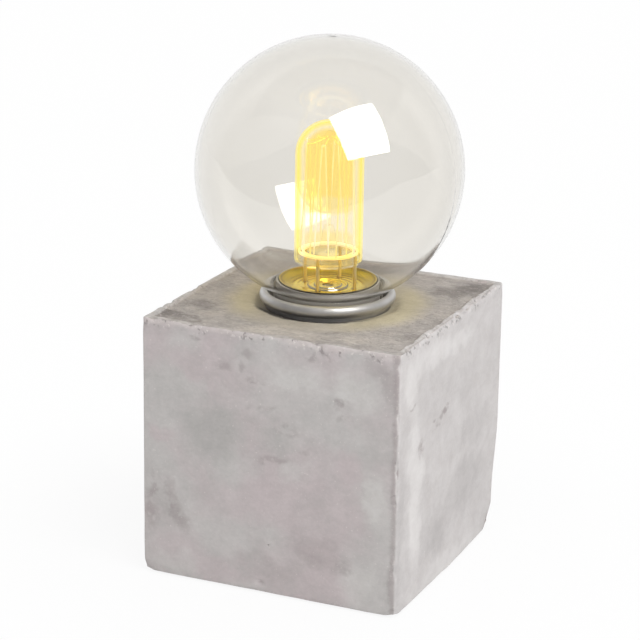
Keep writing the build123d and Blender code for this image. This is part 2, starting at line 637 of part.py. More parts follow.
def battery_door():
    free_end = -WELL_LENGTH / 2 + DOOR_GAP
    width = WELL_WIDTH - 2 * DOOR_GAP
    length = HINGE_Y - free_end
    inner_face = TRAY_BOTTOM + DOOR_THICKNESS
    door = slab(width, length, TRAY_BOTTOM, inner_face, WELL_X, (HINGE_Y + free_end) / 2)
    across = Pos(WELL_X, HINGE_Y, HINGE_Z) * Rot(0, 90, 0)
    door += across * Cylinder(BARREL_DIAMETER / 2, width)
    door += across * Cylinder(HINGE_PIN_DIAMETER / 2, WELL_WIDTH + 2 * (HINGE_PIN_LENGTH - DOOR_GAP))
    rib_length = length - 2 * (BARREL_DIAMETER + LATCH_THICKNESS)
    for left, right in zip(CELL_X, CELL_X[1:]):
        door += slab(DOOR_RIB_WIDTH, rib_length, inner_face, inner_face + DOOR_RIB_HEIGHT, (left + right) / 2)
    latch_y = free_end + LATCH_THICKNESS / 2
    latch_top = inner_face + LATCH_HEIGHT
    door += slab(LATCH_WIDTH, LATCH_THICKNESS, inner_face, latch_top, WELL_X, latch_y)
    bead = Pos(WELL_X, free_end, latch_top - LATCH_BEAD) * Rot(0, 90, 0) * Cylinder(LATCH_BEAD, LATCH_WIDTH)
    return door + bead


def battery(index):
    """Round cell, its nub towards +Y in the outer rows and towards -Y in the middle one."""
    facing = 1 if index % 2 == 0 else -1
    nub_tip = WELL_LENGTH / 2 - CONTACT_THICKNESS - CELL_END_GAP
    nub_base = nub_tip - CELL_NUB_LENGTH
    body = Pos(0, 0, nub_base - CELL_BODY_LENGTH / 2) * Cylinder(CELL_DIAMETER / 2, CELL_BODY_LENGTH)
    body = chamfer(body.edges(), CELL_NUB_LENGTH / 2)
    nub = Pos(0, 0, nub_base + CELL_NUB_LENGTH / 2) * Cylinder(CELL_NUB_DIAMETER / 2, CELL_NUB_LENGTH)
    return Pos(CELL_X[index], 0, CELL_Z) * Rot(-90 * facing, 0, 0) * (body + nub)


def contact_plate(first, last, y):
    """Plate on an end wall across one cell or two neighbouring cells."""
    width = CELL_X[last] - CELL_X[first] + CONTACT_WIDTH
    middle = (CELL_X[first] + CELL_X[last]) / 2
    return slab(width, CONTACT_THICKNESS, CONTACT_BOTTOM, WELL_CEILING_Z - TAB_GAP, middle, y)


def contact_tab(cell, y):
    bottom = WELL_CEILING_Z - TAB_GAP
    return slab(TAB_WIDTH, CONTACT_THICKNESS, bottom, WELL_TOP + TAB_HEIGHT, CELL_X[cell], y)


def contact_plates():
    return group(
        [
            contact_plate(0, 0, -CONTACT_Y) + contact_tab(0, -CONTACT_Y),
            contact_plate(1, 2, -CONTACT_Y),
            contact_plate(0, 1, CONTACT_Y),
            contact_plate(2, 2, CONTACT_Y) + contact_tab(2, CONTACT_Y),
        ]
    )


def contact_spring(cell):
    """Bowed leaf that presses on the flat end of one cell."""
    facing = -1 if cell % 2 == 0 else 1
    half = SPRING_HEIGHT / 2
    bow = ThreePointArc((0, half), (SPRING_REACH, 0), (0, -half))
    inner_half = half - CONTACT_THICKNESS
    hollow = ThreePointArc((0, inner_half), (SPRING_REACH - CONTACT_THICKNESS, 0), (0, -inner_half))
    feet = Line((0, -half), (0, -inner_half)) + Line((0, inner_half), (0, half))
    strip = Plane.YZ * make_face(bow + feet + hollow)
    leaf = extrude(strip, SPRING_WIDTH / 2, both=True)
    if facing > 0:
        leaf = Rot(0, 0, 180) * leaf
    return Pos(CELL_X[cell], facing * (WELL_LENGTH / 2 - CONTACT_THICKNESS), CELL_Z) * leaf


def contact_springs():
    return group(contact_spring(i) for i in range(CELL_COUNT))


def battery_lead(cell, end, pad_side):
    """Lead from a contact tab over the well and down to the driver board."""
    pad_x = BOARD_X + pad_side * LEAD_PAD_X
    path = FilletPolyline(
        (CELL_X[cell] - TAB_WIDTH / 2, end * CONTACT_Y, LEAD_Z),
        (pad_x, end * CONTACT_Y, LEAD_Z),
        (pad_x, -WIRE_PAD_Y, LEAD_Z),
        (pad_x, -WIRE_PAD_Y, BOARD_TOP),
        radius=LEAD_BEND,
    )
    return tube_along(path, LEAD_DIAMETER / 2)


def driver_board():
    board = slab(BOARD_WIDTH, BOARD_LENGTH, BOARD_BOTTOM, BOARD_TOP, BOARD_X)
    for y in (-BOARD_SCREW_Y, BOARD_SCREW_Y):
        board -= pillar(BOARD_SCREW_DIAMETER / 2 + SCREW_HOLE_GAP, BOARD_BOTTOM, BOARD_TOP, BOARD_X, y)
    return board


def board_components():
    quarter = BOARD_WIDTH / 4
    return group(
        [
            slab(quarter, quarter, BOARD_TOP, BOARD_TOP + BOARD_THICKNESS, BOARD_X, quarter),
            pillar(quarter * 0.6, BOARD_TOP, BOARD_TOP + quarter, BOARD_X - quarter, -quarter),
            pillar(quarter * 0.4, BOARD_TOP, BOARD_TOP + 1.2 * quarter, BOARD_X + quarter, -quarter),
        ]
    )


def board_screws():
    head = BOARD_SCREW_DIAMETER / 2
    screw = pillar(BOARD_SCREW_HEAD / 2, BOARD_TOP, BOARD_TOP + head)
    screw = chamfer(screw.edges().group_by(Axis.Z)[-1], head / 3)
    screw += pillar(BOARD_SCREW_DIAMETER / 2, BOARD_TOP - BOARD_SCREW_LENGTH, BOARD_TOP)
    return group(Pos(BOARD_X, y, 0) * screw for y in (-BOARD_SCREW_Y, BOARD_SCREW_Y))


def switch_body():
    bottom = TRAY_TOP + SWITCH_FLOOR_GAP
    body = slab(SWITCH_WIDTH, SWITCH_LENGTH, bottom, BOARD_BOTTOM, BOARD_X, SWITCH_Y)
    slot_width = SLIDER_WIDTH + 2 * SLIDER_GAP
    return body - slab(slot_width, SLIDER_SLOT, bottom, bottom + SLIDER_DEPTH + SLIDER_GAP, BOARD_X, SWITCH_Y)


def switch_slider():
    """Knob of the slide switch, at the on end of its travel."""
    y = SWITCH_Y + SLIDER_TRAVEL / 2
    bottom = TRAY_BOTTOM - SLIDER_REACH
    top = TRAY_TOP + SWITCH_FLOOR_GAP + SLIDER_DEPTH
    slider = slab(SLIDER_WIDTH, SLIDER_LENGTH, bottom, top, BOARD_X, y)
    groove = SLIDER_LENGTH / 8
    for step in (-1, 0, 1):
        slider -= slab(SLIDER_WIDTH, groove, bottom, bottom + groove, BOARD_X, y + 2 * groove * step)
    return slider


PIECES = {
    "concrete_block": concrete_block(),
    "foot_pads": foot_pads(),
    "collar": collar(),
    "globe_gasket": globe_gasket(),
    "globe": globe(),
    "reflector_dish": reflector_dish(),
    "lamp_socket": lamp_socket(),
    "pin_sleeves": pin_sleeves(),
    "lamp_pins": lamp_pins(),
    "lamp_foot": lamp_foot(),
    "support_rod": support_rod(),
    "lamp_tube": lamp_tube(),
    "filament_ring_outer": filament_ring(OUTER_RING),
    "filament_ring_inner": filament_ring(INNER_RING),
    "filament_hairpins": filament_hairpins(),
    "top_hooks": top_hooks(),
    "threaded_nipple": threaded_nipple(),
    "nipple_washer": nipple_washer(),
    "nipple_nut": nipple_nut(),
    "lamp_wire_positive": lamp_wire(1, OUTER_RING, WIRE_TURN),
    "lamp_wire_negative": lamp_wire(-1, INNER_RING, WIRE_TURN + WIRE_LAYER),
    "base_tray": base_tray(),
    "tray_screws": tray_screws(),
    "screw_plugs": screw_plugs(),
    "battery_door": battery_door(),
    "contact_plates": contact_plates(),
    "contact_springs": contact_springs(),
    "battery_lead_negative": battery_lead(0, -1, 1),
    "battery_lead_positive": battery_lead(CELL_COUNT - 1, 1, -1),
    "driver_board": driver_board(),
    "board_components": board_components(),
    "board_screws": board_screws(),
    "switch_body": switch_body(),
    "switch_slider": switch_slider(),
}
for index in range(CELL_COUNT):
    PIECES[f"battery_{index + 1}"] = battery(index)

os.makedirs("parts", exist_ok=True)
for name, piece in PIECES.items():
    export_step(piece, f"parts/{name}.step")
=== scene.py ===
import math
import random

import bpy
from mathutils import Matrix, Vector, noise


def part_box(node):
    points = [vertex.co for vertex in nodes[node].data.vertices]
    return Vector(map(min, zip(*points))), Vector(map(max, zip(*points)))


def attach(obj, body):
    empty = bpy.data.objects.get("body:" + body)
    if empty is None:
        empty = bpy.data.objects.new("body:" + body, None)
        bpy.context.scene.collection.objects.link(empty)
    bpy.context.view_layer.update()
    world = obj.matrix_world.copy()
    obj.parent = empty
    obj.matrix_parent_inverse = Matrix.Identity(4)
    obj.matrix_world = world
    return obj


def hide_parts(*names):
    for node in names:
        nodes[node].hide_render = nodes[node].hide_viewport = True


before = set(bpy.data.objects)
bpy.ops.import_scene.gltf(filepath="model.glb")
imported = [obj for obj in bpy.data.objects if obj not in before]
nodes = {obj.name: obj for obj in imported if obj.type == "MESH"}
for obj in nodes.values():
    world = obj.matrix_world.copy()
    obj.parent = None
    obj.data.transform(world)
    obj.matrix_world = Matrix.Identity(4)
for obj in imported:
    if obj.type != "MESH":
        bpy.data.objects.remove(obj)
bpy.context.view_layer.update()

MM = 0.001
BLOCK_LOW, BLOCK_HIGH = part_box("concrete_block")
COLLAR_LOW, COLLAR_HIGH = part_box("collar")
TOP = BLOCK_HIGH.z


# Shader building blocks

def effect(name, inputs, outputs):
    """Named shader group: its tree, the sockets it is given and the sockets it fills."""
    tree = bpy.data.node_groups.new(name, "ShaderNodeTree")
    for label, kind, value in inputs:
        socket = tree.interface.new_socket(label, in_out="INPUT", socket_type="NodeSocket" + kind)
        socket.default_value = value
    for label, kind in outputs:
        tree.interface.new_socket(label, in_out="OUTPUT", socket_type="NodeSocket" + kind)
    given = tree.nodes.new("NodeGroupInput").outputs
    filled = tree.nodes.new("NodeGroupOutput").inputs
    return tree, given, filled


def add(tree, kind, inputs=None, **settings):
    """New shader node, with each input linked to a socket or set to a value."""
    node = tree.nodes.new("ShaderNode" + kind)
    for key, value in settings.items():
        setattr(node, key, value)
    for key, value in (inputs or {}).items():
        feed(tree, value, node.inputs[key])
    return node


def feed(tree, value, socket):
    if isinstance(value, bpy.types.NodeSocket):
        tree.links.new(value, socket)
    else:
        socket.default_value = value


def calc(tree, operation, first, second=0.0, third=0.0):
    node = add(tree, "Math", {0: first, 1: second, 2: third}, operation=operation)
    return node.outputs[0]


def times(tree, first, second):
    return calc(tree, "MULTIPLY", first, second)


def most(tree, first, second):
    return calc(tree, "MAXIMUM", first, second)


def fade(tree, value, start, end):
    """0 before start, 1 after end, smooth between; the other way round if end is lower."""
    node = add(tree, "MapRange", {0: value, 1: start, 2: end, 3: 0.0, 4: 1.0})
    node.interpolation_type = "SMOOTHSTEP"
    return node.outputs[0]


def between(tree, value, low, high):
    """A value from 0 to 1 spread between two values."""
    return add(tree, "MapRange", {0: value, 1: 0.0, 2: 1.0, 3: low, 4: high}).outputs[0]


def paint(tree, factor, under, over, blend="MIX"):
    """Colour over another colour by a factor."""
    node = add(tree, "Mix", {0: factor, 6: under, 7: over}, data_type="RGBA", blend_type=blend)
    return node.outputs[2]


def vector(tree, operation, first, second):
    return add(tree, "VectorMath", {0: first, 1: second}, operation=operation).outputs[0]


def axes(tree, spot=None):
    """Coordinates of a position, or of the place on the object where none is given."""
    if spot is None:
        spot = add(tree, "TexCoord").outputs["Object"]
    return add(tree, "SeparateXYZ", {0: spot}).outputs


def place_in(tree, size, shift):
    """Position on the object in units of a size, moved by a shift."""
    spot = add(tree, "TexCoord").outputs["Object"]
    scaled = add(tree, "VectorMath", {0: spot, 3: calc(tree, "DIVIDE", 1.0, size)}, operation="SCALE")
    return vector(tree, "ADD", scaled.outputs[0], shift)


def cloudy_patches():
    tree, given, filled = effect(
        "Cloudy patches",
        [
            ("First colour", "Color", (0.5, 0.5, 0.5, 1)),
            ("Second colour", "Color", (0.4, 0.4, 0.4, 1)),
            ("Patch size", "Float", 0.03),
            ("Softness", "Float", 0.2),
            ("Shift", "Float", 0.0),
        ],
        [("Colour", "Color"), ("Mask", "Float")],
    )
    where = place_in(tree, given["Patch size"], given["Shift"])
    cloud = add(tree, "TexNoise", {
        "Vector": where, "Scale": 1.0, "Detail": 5.0, "Roughness": 0.55, "Distortion": 0.5,
    })
    low = calc(tree, "SUBTRACT", 0.5, given["Softness"])
    high = calc(tree, "ADD", 0.5, given["Softness"])
    mask = fade(tree, cloud.outputs[0], low, high)
    feed(tree, paint(tree, mask, given["First colour"], given["Second colour"]), filled["Colour"])
    feed(tree, mask, filled["Mask"])
    return tree


def fine_grain():
    tree, given, filled = effect(
        "Fine grain", [("Grain size", "Float", 0.001), ("Shift", "Float", 0.0)], [("Height", "Float")]
    )
    where = place_in(tree, given["Grain size"], given["Shift"])
    grain = add(tree, "TexNoise", {"Vector": where, "Scale": 1.0, "Detail": 3.0, "Roughness": 0.6})
    feed(tree, grain.outputs[0], filled["Height"])
    return tree


def float_marks():
    tree, given, filled = effect(
        "Float marks", [("Mark size", "Float", 0.012), ("Shift", "Float", 0.0)], [("Height", "Float")]
    )
    where = place_in(tree, given["Mark size"], given["Shift"])
    marks = add(tree, "TexNoise", {
        "Vector": where, "Scale": 1.0, "Detail": 2.0, "Roughness": 0.4, "Distortion": 0.5,
    })
    feed(tree, marks.outputs[0], filled["Height"])
    return tree


def air_holes():
    tree, given, filled = effect(
        "Air holes",
        [
            ("Spacing", "Float", 0.008),
            ("Hole size", "Float", 0.12),
            ("Share", "Float", 0.3),
            ("Shift", "Float", 0.0),
        ],
        [("Mask", "Float")],
    )
    where = place_in(tree, given["Spacing"], given["Shift"])
    cells = add(tree, "TexVoronoi", {"Vector": where, "Scale": 1.0})
    split = add(tree, "SeparateColor", {0: cells.outputs["Color"]})
    radius = times(tree, given["Hole size"], between(tree, split.outputs[1], 0.4, 1.0))
    hole = fade(tree, cells.outputs["Distance"], radius, times(tree, radius, 0.4))
    chosen = calc(tree, "LESS_THAN", split.outputs[0], given["Share"])
    feed(tree, times(tree, hole, chosen), filled["Mask"])
    return tree


def long_streaks():
    tree, given, filled = effect(
        "Long streaks",
        [("Lines per metre", "Vector", (100.0, 100.0, 2000.0)), ("Softness", "Float", 0.25)],
        [("Mask", "Float")],
    )
    spot = add(tree, "TexCoord").outputs["Object"]
    stretched = vector(tree, "MULTIPLY", spot, given["Lines per metre"])
    lines = add(tree, "TexNoise", {
        "Vector": stretched, "Scale": 1.0, "Detail": 4.0, "Roughness": 0.6, "Distortion": 0.6,
    })
    low = calc(tree, "SUBTRACT", 0.5, given["Softness"])
    high = calc(tree, "ADD", 0.5, given["Softness"])
    feed(tree, fade(tree, lines.outputs[0], low, high), filled["Mask"])
    return tree


def turned_lines():
    tree, given, filled = effect(
        "Turned lines", [("Lines per metre", "Float", 3000.0)], [("Mask", "Float")]
    )
    x, y, z = axes(tree)
    across = calc(tree, "ADD", from_axis(tree, x, y), z)
    lines = add(tree, "TexNoise", {
        "W": times(tree, across, given["Lines per metre"]), "Scale": 1.0, "Detail": 3.0,
    }, noise_dimensions="1D")
    feed(tree, lines.outputs[0], filled["Mask"])
    return tree


def from_axis(tree, x, y):
    """Distance from the upright axis."""
    return calc(tree, "SQRT", calc(tree, "ADD", times(tree, x, x), times(tree, y, y)))


def soft_blot():
    tree, given, filled = effect(
        "Soft blot",
        [
            ("Place", "Vector", (0, 0, 0)),
            ("Middle", "Vector", (0, 0, 0)),
            ("Reach", "Vector", (0.01, 0.01, 0.01)),
        ],
        [("Mask", "Float")],
    )
    offset = vector(tree, "SUBTRACT", given["Place"], given["Middle"])
    scaled = vector(tree, "DIVIDE", offset, given["Reach"])
    away = add(tree, "VectorMath", {0: scaled}, operation="LENGTH").outputs[1]
    feed(tree, fade(tree, away, 1.0, 0.3), filled["Mask"])
    return tree


CLOUDS = cloudy_patches()
GRAIN = fine_grain()
MARKS = float_marks()
HOLES = air_holes()
STREAKS = long_streaks()
TURNED = turned_lines()
BLOT = soft_blot()


def use(tree, group, **values):
    """A shader group placed in a material; input names have underscores for spaces."""
    node = tree.nodes.new("ShaderNodeGroup")
    node.node_tree = group
    for key, value in values.items():
        feed(tree, value, node.inputs[key.replace("_", " ")])
    return node.outputs


def tone(red, green, blue):
    return (red, green, blue, 1.0)


def finish(name):
    """New material: its tree, its surface shader and its output."""
    material = bpy.data.materials.new(name)
    material.use_nodes = True
    tree = material.node_tree
    return material, tree, tree.nodes["Principled BSDF"], tree.nodes["Material Output"]


def relief(tree, height, depth, strength=1.0):
    """Bump from a height between 0 and 1 that stands for a depth in metres."""
    bump = add(tree, "Bump", {"Height": height, "Distance": depth, "Strength": strength})
    return bump.outputs[0]


# Concrete

GREY = tone(0.495, 0.475, 0.464)
PINK = tone(0.490, 0.434, 0.437)
OLIVE = tone(0.412, 0.398, 0.386)
PALE = tone(0.545, 0.528, 0.512)
STROKE = tone(0.310, 0.270, 0.268)
FRINGE = tone(0.590, 0.535, 0.520)
RIGHT_TONE = tone(0.565, 0.540, 0.533)
RIGHT_PALE = tone(0.655, 0.632, 0.622)
RIGHT_DARK = tone(0.475, 0.453, 0.448)
TOP_TONE = tone(0.440, 0.406, 0.385)
TOP_PALE = tone(0.585, 0.535, 0.482)
TOP_DARK = tone(0.220, 0.200, 0.186)
LIP_TONE = tone(0.580, 0.555, 0.540)
# Tone of the lamp's light, painted on the top round the collar
PAINTED_LAMP_GLOW = tone(0.570, 0.500, 0.300)
CRUMB = tone(0.72, 0.68, 0.65)
# Tone of the painted shade in air holes, pits and scratches
PAINTED_HOLLOW_SHADE = tone(0.180, 0.160, 0.152)
# Tone of the painted shadow in the gap under the front of the collar
PAINTED_GAP_SHADOW = tone(0.085, 0.078, 0.072)

# Place across of the worn edge between the front and the right face
ARRIS_X = 0.0628

# Half the block's width, and the height of its trowelled top, in millimetres
FACE = 64.0
TOP_LEVEL = 125.0
# A mark's reach into its face, and the reach under which it counts as small and is broken up
MARK_DEPTH = 30.0
SMALL_MARK = 6
SMALL_SPREAD = 1.5
# Marks on the front in millimetres: place across and up, reach across and up, then strength
FRONT_MARKS = [
    (PINK, [
        (-37.9, 107, 19.4, 9.8, 0.8), (40.1, 68.2, 11.7, 13.4, 0.9), (-4, 44.5, 29, 16, 0.8),
        (-44.7, 14.4, 20, 11.6, 0.7), (-27, 7.4, 26, 7.7, 0.7), (31, 12, 22, 8, 0.6),
        (-55, 72.2, 6.6, 7.5, 0.8),
    ]),
    (OLIVE, [(-30, 76.2, 22, 23.7, 0.8), (4, 77, 16, 9, 0.4)]),
    (PALE, [
        (11.9, 108.4, 23.6, 13.2, 0.7), (43, 104.8, 14.6, 13, 0.7), (52.8, 54.5, 7.4, 20.8, 0.8),
        (12.5, 62.3, 11.4, 7.4, 0.5), (-48, 8, 14, 7, 0.5), (46, 14, 16, 12, 0.7),
    ]),
    (STROKE, [
        (-58, 46, 2.6, 7, 0.42), (-58.6, 36, 2.8, 8, 0.42), (-59, 27, 3, 6, 0.38), (-51.8, 46, 2.4, 5, 0.35),
        (-49.5, 39.5, 2.6, 5.5, 0.42), (-46.8, 33, 3, 5.5, 0.45), (-43.8, 27.5, 3.4, 4.5, 0.42),
        (-52, 37, 12, 17, 0.16), (23.2, 28.2, 17, 10, 0.35), (39, 21, 5, 4.5, 0.35), (28, 22, 16, 6.5, 0.2),
        (0, 14, 24, 9, 0.22), (-4.4, 90.8, 5.7, 2.2, 0.4),
        (10.4, 82.8, 6.3, 2.4, 0.4), (2.3, 67.3, 7.6, 1.7, 0.5), (17.5, 72.9, 3.1, 1.7, 0.4),
        (35.2, 98.2, 4.3, 2.6, 0.6), (37.8, 91.4, 3.7, 1.7, 0.5), (24.3, 120.4, 6.8, 2.4, 0.6),
        (-10.3, 115.3, 2.6, 2.7, 0.5), (-23, 106.8, 3.9, 1.9, 0.45), (-14.1, 108.1, 1.9, 1.8, 0.5),
        (-6.4, 103.2, 3.8, 1.2, 0.5), (-36.6, 118.8, 1.7, 1.3, 0.5), (54, 119, 10, 6, 0.35),
        (59, 110, 6, 14, 0.35),
    ]),
]
# The same on the right face, across from front to back
RIGHT_MARKS = [
    (RIGHT_DARK, [
        (24, 37.5, 32, 18.6, 0.9), (-16.6, 21.6, 20, 11.7, 1.0), (28.6, 61.5, 28, 11.8, 0.7),
        (9.6, 91, 30, 11.4, 0.4), (-61, 40, 9, 46, 0.75), (-8, 30, 34, 16, 0.5),
    ]),
    (RIGHT_PALE, [
        (-42.5, 41, 10, 34, 1.0), (-46, 76, 9, 26, 0.8), (-50, 109, 15, 14.4, 0.9),
        (-20.6, 114.6, 25.6, 8.6, 0.8),
        (7.7, 112.5, 23.4, 6.2, 0.7), (-38, 63.7, 9.3, 9.9, 0.8), (0, 5, 60, 8, 0.6),
    ]),
    (STROKE, [
        (-8.8, 83.3, 3.6, 1.6, 0.7), (-19.6, 81.2, 4, 1.1, 0.6), (-35.8, 73.8, 3.8, 3.4, 0.6),
        (-47.8, 97.3, 3, 0.8, 0.5), (1.5, 54, 4, 5.1, 0.2), (-17, 78, 3, 1.8, 0.55), (-13, 81, 2.4, 1.5, 0.5),
        (-5, 86, 1.8, 0.9, 0.5), (-21, 76.5, 2, 1.2, 0.5),
    ]),
]
# The same on the top, across and from front to back
TOP_MARKS = [
    (TOP_DARK, [
        (-57, -51, 9, 8, 0.9), (-51, -31, 10, 9, 0.5), (-45, -54, 10, 5, 0.5), (55, 50, 14, 12, 0.9),
        (46, 38, 13, 12, 0.65), (57, -36, 9, 9, 0.4), (-10, 50, 40, 14, 0.75),
        (20, -46, 9, 4, 0.3), (-30, 20, 14, 30, 0.25),
    ]),
    (TOP_PALE, [
        (3, -54, 30, 11, 0.9), (36, -50, 16, 9, 0.8), (42, -12, 11, 18, 0.9), (-40, -40, 10, 9, 0.4),
    ]),
]


def wander(tree, spot, reach):
    """Position pushed about by noise, so that what is measured from it has ragged edges."""
    drift = add(tree, "TexNoise", {"Vector": spot, "Scale": 70.0, "Detail": 5.0, "Roughness": 0.6}).outputs[1]
    centred = vector(tree, "SUBTRACT", drift, (0.5, 0.5, 0.5))
    return vector(tree, "ADD", spot, vector(tree, "MULTIPLY", centred, (reach, reach, reach)))


def marked(tree, colour, loose, torn, marks, axis, level):
    """Colour with a face's marks laid over it, the small ones broken up."""
    broken = fade(tree, use(tree, GRAIN, Grain_size=0.0055, Shift=6.0)["Height"], 0.36, 0.56)
    for over, rows in marks:
        for first, second, reach_first, reach_second, strength in rows:
            middle, reach = [first, second], [reach_first, reach_second]
            middle.insert(axis, level)
            reach.insert(axis, MARK_DEPTH)
            small = min(reach) < SMALL_MARK
            mask = use(tree, BLOT, Place=torn if small else loose, Middle=Vector(middle) * MM,
                       Reach=Vector(reach) * MM * (SMALL_SPREAD if small else 1.0))["Mask"]
            mask = times(tree, mask, broken) if small else mask
            colour = paint(tree, times(tree, mask, strength), colour, over)
    return colour


def turned_over(tree, spot, on_back, on_left):
    """Position that brings the marks of the front to the back and the left face, upside down."""
    x, y, z = axes(tree, spot)
    under = calc(tree, "SUBTRACT", BLOCK_LOW.z + BLOCK_HIGH.z, z)
    back = add(tree, "CombineXYZ", {0: x, 1: times(tree, y, -1.0), 2: under}).outputs[0]
    left = add(tree, "CombineXYZ", {0: y, 1: x, 2: under}).outputs[0]
    moved = add(tree, "Mix", {0: on_back, 4: spot, 5: back}, data_type="VECTOR").outputs[1]
    return add(tree, "Mix", {0: on_left, 4: moved, 5: left}, data_type="VECTOR").outputs[1]


def concrete():
    material, tree, surface, _ = finish("cast_concrete")
    coords = add(tree, "TexCoord").outputs
    spot = coords["Object"]
    loose = wander(tree, spot, 0.022)
    close = wander(tree, spot, 0.007)
    torn = wander(tree, spot, 0.013)
    x, y, z = axes(tree, spot)
    close_x, close_y, close_z = axes(tree, close)
    facing = axes(tree, coords["Normal"])
    on_top = fade(tree, facing[2], 0.70, 0.92)
    on_right = fade(tree, facing[0], 0.35, 0.85)
    on_front = fade(tree, facing[1], -0.6, -0.9)
    on_back = calc(tree, "GREATER_THAN", facing[1], 0.7)
    on_left = calc(tree, "LESS_THAN", facing[0], -0.7)
    front_loose = turned_over(tree, loose, on_back, on_left)
    front_torn = turned_over(tree, torn, on_back, on_left)

    clouds = use(tree, CLOUDS, First_colour=GREY, Second_colour=PINK,
                 Patch_size=0.045, Softness=0.15, Shift=3.1)
    mottle = use(tree, CLOUDS, Patch_size=0.011, Softness=0.22, Shift=8.0)["Mask"]
    wash = use(tree, CLOUDS, Patch_size=0.022, Softness=0.16, Shift=1.3)["Mask"]
    side = paint(tree, times(tree, wash, 0.35), clouds["Colour"], OLIVE)
    side = marked(tree, side, front_loose, front_torn, FRONT_MARKS, 1, -FACE)
    fringe = fade(tree, close_z, TOP - 0.0042, TOP - 0.0012)
    side = paint(tree, times(tree, fringe, 0.7), side, FRINGE)
    # Painted shadow: a dark line on the front just before its edge with the right face; the same band also
    # carries the edge's wear further down
    from_arris = calc(tree, "ABSOLUTE", calc(tree, "SUBTRACT", close_x, ARRIS_X))
    arris_shadow_and_wear = times(tree, fade(tree, from_arris, 0.0032, 0.0006), on_front)
    side = paint(tree, times(tree, arris_shadow_and_wear, 0.5), side, STROKE)

    right = paint(tree, times(tree, wash, 0.35), RIGHT_TONE, RIGHT_DARK)
    right = marked(tree, right, loose, torn, RIGHT_MARKS, 0, FACE)

    trowel = use(tree, STREAKS, Lines_per_metre=(190.0, 420.0, 190.0), Softness=0.14)["Mask"]
    top = paint(tree, times(tree, wash, 0.4), TOP_TONE, TOP_PALE)
    top = marked(tree, top, loose, torn, TOP_MARKS, 2, TOP_LEVEL)
    top = paint(tree, times(tree, trowel, 0.22), top, TOP_DARK)
    from_lamp = from_axis(tree, close_x, close_y)
    # Painted light: the lamp's warm glow painted on the top round the collar, weaker in front of it and
    # behind it
    painted_glow_mask = fade(tree, from_lamp, 0.0530, 0.0400)
    painted_glow_spread = between(tree, fade(tree, calc(tree, "ABSOLUTE", x), 0.012, 0.036), 0.22, 0.62)
    top = paint(tree, times(tree, painted_glow_mask, painted_glow_spread), top, PAINTED_LAMP_GLOW)
    # Painted shadow: the gap round the front of the collar's bead painted near black
    painted_gap_shadow = times(tree, fade(tree, from_lamp, 0.0362, 0.0338), fade(tree, y, -0.014, -0.028))
    top = paint(tree, painted_gap_shadow, top, PAINTED_GAP_SHADOW)
    raised = fade(tree, z, TOP - 0.0009, TOP - 0.0005)
    top = paint(tree, times(tree, raised, 0.9), top, LIP_TONE)

    colour = paint(tree, on_right, side, right)
    colour = paint(tree, on_top, colour, top)
    worn = times(tree, on_top, between(tree, painted_glow_mask, 0.42, 0.10))
    rough = fade(tree, close_z, TOP - 0.0065, TOP - 0.0020)
    rough = times(tree, rough, calc(tree, "SUBTRACT", 1.0, on_top))
    edge = most(tree, worn, most(tree, rough, times(tree, arris_shadow_and_wear, 0.4)))
    holes = use(tree, HOLES, Spacing=0.011, Hole_size=0.08, Share=0.18)["Mask"]
    pits = fade(tree, use(tree, GRAIN, Grain_size=0.0024, Shift=4.0)["Height"], 0.57, 0.68)
    crumbs = fade(tree, use(tree, GRAIN, Grain_size=0.0020, Shift=9.0)["Height"], 0.57, 0.66)
    drag = use(tree, STREAKS, Lines_per_metre=(260.0, 900.0, 500.0), Softness=0.14)["Mask"]
    scratch = times(tree, fade(tree, drag, 0.72, 1.0), on_top)
    hollow = most(tree, holes, times(tree, most(tree, pits, scratch), edge))
    colour = paint(tree, times(tree, times(tree, crumbs, edge), 0.6), colour, CRUMB)
    # Painted shade: air holes, pits and scratches darkened, where the bump only dents them
    colour = paint(tree, times(tree, hollow, 0.5), colour, PAINTED_HOLLOW_SHADE)
    strokes = use(tree, STREAKS, Lines_per_metre=(150.0, 150.0, 260.0), Softness=0.16)["Mask"]
    colour = paint(tree, 0.20, colour, shade(tree, strokes, 0.43, 0.57), blend="OVERLAY")
    flecks = fade(tree, use(tree, GRAIN, Grain_size=0.0013, Shift=12.0)["Height"], 0.655, 0.72)
    colour = paint(tree, times(tree, flecks, 0.45), colour, CRUMB)
    colour = paint(tree, 0.35, colour, shade(tree, mottle, 0.44, 0.56), blend="OVERLAY")
    sand = use(tree, GRAIN, Grain_size=0.0014)["Height"]
    colour = paint(tree, 0.30, colour, shade(tree, sand, 0.36, 0.64), blend="OVERLAY")
    tree.links.new(colour, surface.inputs["Base Color"])
    tree.links.new(between(tree, sand, 0.75, 0.95), surface.inputs["Roughness"])
    floated = use(tree, MARKS, Mark_size=0.014)["Height"]
    height = calc(tree, "ADD", times(tree, floated, 0.7), times(tree, sand, 0.12))
    height = calc(tree, "SUBTRACT", height, times(tree, hollow, 0.7))
    tree.links.new(relief(tree, height, 0.0006), surface.inputs["Normal"])
    surface.inputs["Specular IOR Level"].default_value = 0.25
    return material


def shade(tree, value, low, high):
    """Grey from a value between two limits."""
    level = between(tree, value, low, high)
    return add(tree, "CombineColor", {0: level, 1: level, 2: level}).outputs[0]


# Squares along each edge of the block, and the height of the lip round its top
GRID = 96
LIP = 1.2 * MM
